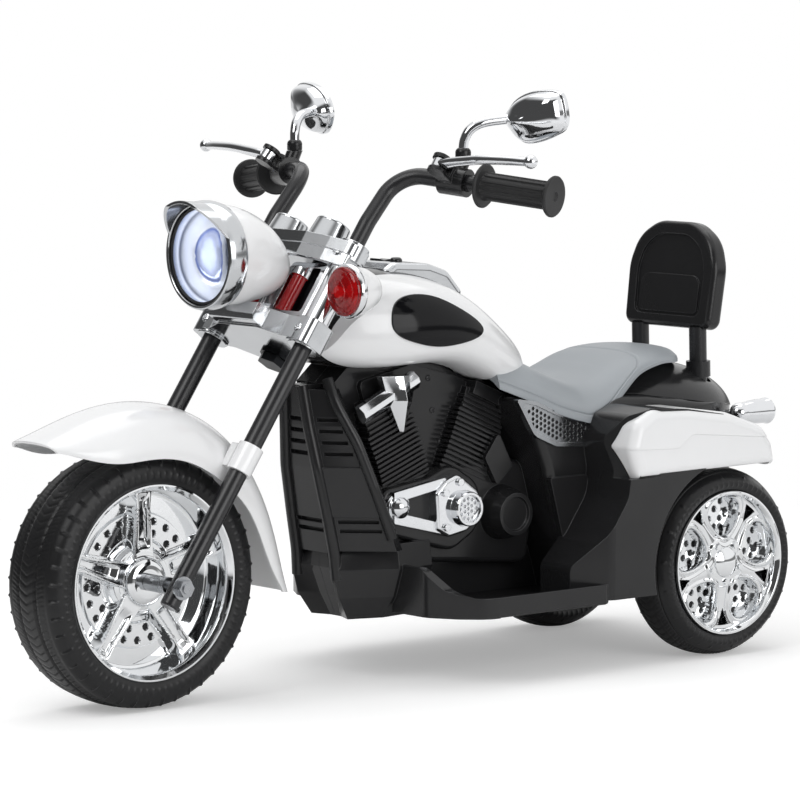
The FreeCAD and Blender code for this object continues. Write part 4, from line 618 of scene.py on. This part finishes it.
def seat_surface(stations, crease_up, crease_front, crease_round):
    """Each station is a crowned arch from edge to edge with a shallower one below it. The arch moves along its own
    normal: down in a narrow groove along a frame with rounded corners, and up by half a millimetre outside it."""
    x, half, top, edge = (stations[:, i:i + 1] for i in range(4))
    arch = through([(1, 0), (0.93, 0.36), (0.62, 0.86), (0, 1), (-0.62, 0.86), (-0.93, 0.36), (-1, 0)], 145)
    wide, high = half * arch[None, :, 0], (top - edge) * arch[None, :, 1]
    run, climb = np.gradient(wide, axis=1), np.gradient(high, axis=1)
    step = np.hypot(run, climb)
    gone = np.cumsum(step, axis=1)
    from_edge = np.minimum(gone, gone[:, -1:] - gone)
    side = crease_up - from_edge + crease_round
    front = crease_front - x + crease_round + 0 * wide
    out = np.hypot(np.maximum(side, 0), np.maximum(front, 0)) + np.minimum(np.maximum(side, front), 0) - crease_round
    lift = (0.5 * rise(out, -0.9, 0.9) - 1.0 * ridge(out, 1.7) - 0.5) * rise(from_edge, 0.5, 3)
    over = np.stack([x + 0 * wide, wide + lift * climb / step, edge + high - lift * run / step], -1)
    under = through([(-1, 0), (-0.7, 0.3), (0, 0.36), (0.7, 0.3), (1, 0)], 41)
    below = np.stack([x + 0 * under[None, :, 0], half * under[None, :, 0],
                      edge - 3 + (top - edge) * under[None, :, 1]], -1)
    ring = np.concatenate([over, below], 1)
    ends = [np.repeat(ring[i].mean(0)[None, None], ring.shape[1], 1) for i in (0, -1)]
    return np.concatenate([ends[0], ring, ends[1]], 0)


seat_grid = seat_surface(seat_stations, crease_up=6, crease_front=42, crease_round=18)
piece("seat_moulding", [seat_grid], seat_grain, "chassis", stands_for=["seat"])


# Headlamp. A plated bowl with stepped rings, a projector ring and a glowing lamp behind a clear domed lens. Bowl and
# projector ring glow a little and carry painted reflection rings. A black vinyl ring at the lens's edge is a painted
# shadow of the gap between lens and bezel.

def lit_finish(name, rings, centre, axis, strength, **values):
    """A surface that shines: a lamp, or a reflector given a painted glow and painted reflection rings. Each ring is a
    distance in mm from the lamp's axis and the colour there.
    """
    material = bpy.data.materials.new(name)
    material.use_nodes = True
    tree = material.node_tree
    shader = tree.nodes["Principled BSDF"]
    for socket, value in values.items():
        shader.inputs[socket].default_value = value
    shader.inputs["Emission Strength"].default_value = strength
    keep = 1 - np.abs(np.asarray(axis, float))
    place = add(tree, "ShaderNodeTexCoord").outputs["Object"]
    flat = add(tree, "ShaderNodeVectorMath", {1: tuple(keep)}, {0: place}, operation="MULTIPLY")
    away = add(tree, "ShaderNodeVectorMath", {1: tuple(row([centre])[0] * keep)}, {0: flat.outputs[0]},
               operation="DISTANCE")
    widest = rings[-1][0]
    share = add(tree, "ShaderNodeMapRange", {2: widest / 1000}, {0: away.outputs["Value"]})
    ramp = add(tree, "ShaderNodeValToRGB", None, {0: share.outputs[0]})
    stops = ramp.color_ramp.elements
    for reach, colour in rings[1:-1]:
        stops.new(reach / widest).color = linear(colour)
    stops[0].color, stops[-1].color = linear(rings[0][1]), linear(rings[-1][1])
    tree.links.new(ramp.outputs[0], shader.inputs["Base Color"])
    tree.links.new(ramp.outputs[0], shader.inputs["Emission Color"])
    return material


def ahead_turned(profile, middle, around):
    """A profile of places ahead and radii, turned about a line that points ahead."""
    return lathe(profile[:, 0], profile[:, 1], middle, AHEAD, UP, around)


lamp_middle = np.array([0.0, 0.0, 419.0])
bowl = through([(547, 43.4), (538, 41.2), (528, 36.5), (518, 28), (513, 18), (512, 10), (512, 0)], 60)
bowl[:, 0] += 0.5 * np.cos(bowl[:, 1] * 2 * np.pi / 5.5)
bowl = np.vstack([bowl, dense([(508, 0), (508, 14), (524, 37), (534, 43), (547, 45)], 12)])
# Painted reflection and glow: the bowl is no lamp, yet its colour runs in bright and dark rings and it glows a little.
# The projector ring shares this finish.
bowl_painted_reflection_rings = [(0, "#FFFFFF"), (24, "#E6ECFB"), (25.5, "#7088D6"), (27, "#F2F5FC"), (31, "#DCE4F6"), (32.5, "#7A90CE"),
              (34, "#F6F8FC"), (38.5, "#DCE1EC"), (40, "#666E82"), (41.2, "#E6EAF2"), (43, "#9AA2B4")]
painted_glow_bowl = lit_finish("bowl_abs_painted_glow", bowl_painted_reflection_rings, (530, 0, 419), AHEAD, 0.45, Metallic=0.6, Roughness=0.2)
piece("headlamp_bowl", [ahead_turned(bowl, lamp_middle, 96)], painted_glow_bowl, "steering",
      stands_for=["headlamp_reflector"])
collar = through([(516, 23), (530, 24), (532.5, 26), (531, 28.2), (527, 27.6), (514, 26)], 40, closed=True)
piece("headlamp_collar", [ahead_turned(collar, lamp_middle, 96)], painted_glow_bowl, "steering", wrap=(True, True))
glow = through([(514, 23), (522, 22), (526.5, 18), (527, 14), (529, 12), (529.6, 8), (531, 6), (532, 0)], 60)
glow = np.vstack([glow, [(514, 0)]])
lamp_rings = [(0, "#FFFFFF"), (8, "#FFFFFF"), (9.5, "#9DBBFA"), (10.5, "#5880EA"), (11.5, "#EEF5FF"),
              (14.5, "#D2E2FF"), (16, "#587CDE"), (17.2, "#E6EFFF"), (20, "#C8D8FA"), (23, "#8FA9EA")]
lamp_glow = lit_finish("lit_lamp_acrylic", lamp_rings, (539, 0, 419), AHEAD, 1.0)
piece("headlamp_lamp", [ahead_turned(glow, lamp_middle, 72)], lamp_glow, "steering")
clear_acrylic = finish("clear_acrylic", "#FDFEFF", "#F8FAFC", (0.01, 0.03), 12.0, 0.02, IOR=1.49,
                       Transmission_Weight=1.0)
dress(clear_acrylic, "headlamp_lens")
# Painted shadow: a black vinyl ring at the lens's edge stands for the dark gap between lens and bezel.
lens_gap_shadow_ring = through([(550.2, 43.6), (551.6, 44.2), (551.4, 45.8), (550, 46.3), (548.6, 45.6), (548.8, 44.1)], 18,
                 closed=True)
piece("headlamp_gap_shadow_ring", [ahead_turned(lens_gap_shadow_ring, lamp_middle, 96)], soft_vinyl, "steering",
      wrap=(True, True))


# Turn signals. Red acrylic domes moulded in rings with fine radial flutes, clipped in plated bezels, over a plated dish
# and an amber lamp.

red_acrylic = finish("red_acrylic", "#C0121A", "#A80D15", (0.02, 0.05), 8.0, 0.02, IOR=1.53, Transmission_Weight=0.75)
amber_rings = [(0, "#FFE9B0"), (3, "#FFC070"), (6, "#FF6A1E")]
amber_lamp = lit_finish("lit_amber_lamp", amber_rings, (463, 103, 387), AHEAD, 0.8)
amber_lamp_right = lit_finish("lit_amber_lamp_right", amber_rings, (463, -103, 387), AHEAD, 0.8)
dome = dense([(460.1, 19.5), (460.1, 23.4), (462.4, 22.9), (464.4, 20.6), (465, 18.6), (466, 18.5), (467.4, 15.4),
              (468.5, 11.2), (469.6, 11), (470.9, 6.5), (471.6, 0)], 1.2)
dome_back = dense([(469.8, 0), (469, 6), (467.6, 10), (466.6, 13.5), (464.4, 17), (463, 20), (460.1, 21.4)], 1.6)
dome_around, flute_count, flute_depth = 288, 48, 0.28
dome_turn = np.linspace(0, 2 * np.pi, dome_around, endpoint=False)
flute = flute_depth * np.cos(flute_count * dome_turn)[None] * rise(dome_back[:, 1:], 4, 8)
shell = np.vstack([np.repeat(dome[:, :1], dome_around, 1), dome_back[:, :1] + flute])
shell_reach = np.repeat(np.vstack([dome[:, 1:], dome_back[:, 1:]]), dome_around, 1)
dish = dense([(453, 0), (453, 19.6), (460, 19.6), (456, 14), (454.6, 7), (454.6, 0)], 4)
bulb = through([(454.6, 5), (459, 5.6), (463, 5), (465, 3), (465.6, 0)], 16)
bulb = np.vstack([[(454.6, 0)], bulb])
for side, name, lamp in ((1, "left", amber_lamp), (-1, "right", amber_lamp_right)):
    middle = (0, 103 * side, 387)
    piece("signal_lens_" + name, [lathe(shell, shell_reach, middle, AHEAD, UP, dome_around)], red_acrylic, "steering",
          stands_for=["signal_lenses"])
    piece("signal_dish_" + name, [ahead_turned(dish, middle, 48)], plated_abs, "steering")
    piece("signal_lamp_" + name, [ahead_turned(bulb, middle, 32)], lamp, "steering")


# Tail lamps' lenses. Red acrylic discs with rings, pressed in the open ends of the plated bullets, facing backwards.

tail_lens = dense([(106.5, 0), (106.5, 9.2), (108.4, 9.9), (110.4, 9.9), (111.4, 8.6), (111.8, 6.6), (111.2, 6.2),
                   (112, 3.4), (111.5, 3), (112.2, 0)], 0.8)
for side, name in SIDES:
    turned = lathe(tail_lens[:, 0], tail_lens[:, 1], (0, 84 * side, 236), (-1, 0, 0), UP, 72)
    piece("tail_lens_" + name, [turned], red_acrylic, "chassis")


# Damper rods in the fork's windows: red acrylic rods, with a plated cap pressed on each upper end.

rake = math.radians(34.4)
fork_up = np.array([-math.sin(rake), 0, math.cos(rake)])
fork_ahead = np.array([math.cos(rake), 0, math.sin(rake)])
fork_foot, rod_y = np.array([630, 0, 120]), 21.5
red_rod = finish("red_rod_acrylic", "#B01018", "#980C13", (0.08, 0.16), 4.0, 0.02, IOR=1.49, Coat_Weight=0.4)
dress(red_rod, "damper_rods")
cap = dense([(-8.2, 8.2), (-8.2, 8.9), (-0.6, 8.9), (0, 8.4), (0, 0)], 3)
cap_middle = fork_foot + fork_up * 337.9 + fork_ahead * 6
caps = [lathe(cap[:, 0], cap[:, 1], cap_middle + (0, y, 0), fork_up, (0, 1, 0), 48) for y in (rod_y, -rod_y)]
piece("damper_caps", caps, plated_abs, "steering")


# Screws. Cross-head pan screws: plated ones clamp the yokes on the fork legs, black ones hold the engine's middle
# panel.

def screw(centre, axis, radius):
    """A pan head: its height falls with the square of the distance from the middle, less a cross of two slots."""
    reach = np.append(np.linspace(0, radius, 15), radius)[:, None]
    turn = np.linspace(0, 2 * np.pi, 48, endpoint=False)[None]
    slot = np.minimum(np.abs(reach * np.cos(turn)), np.abs(reach * np.sin(turn)))
    sunk = rise(slot, 0.24 * radius, 0.15 * radius) * rise(reach, 0.7 * radius, 0.58 * radius)
    height = radius * (0.55 - 0.35 * (reach / radius) ** 2 - 0.3 * sunk)
    height[-1] = -0.6
    return lathe(height, reach, centre, axis, (0, 0.3, 1), 48)


yoke_screws = [screw((490.4, 71.5 * side, 353), fork_ahead, 4.4) for side in (1, -1)]
yoke_screws += [screw((441.8, 69.5 * side, 422.2), (0.77, 0.37 * side, 0.52), 4.4) for side in (1, -1)]
piece("yoke_screws", yoke_screws, plated_abs, "steering")
panel_spots = ((299.7, 290.9), (294.6, 259.2), (284.3, 227.1))
panel_screws = [screw((x, 33.9 * side, z), (0, side, 0), 3) for x, z in panel_spots for side in (1, -1)]
piece("panel_screws", panel_screws, black_polypropylene, "chassis")
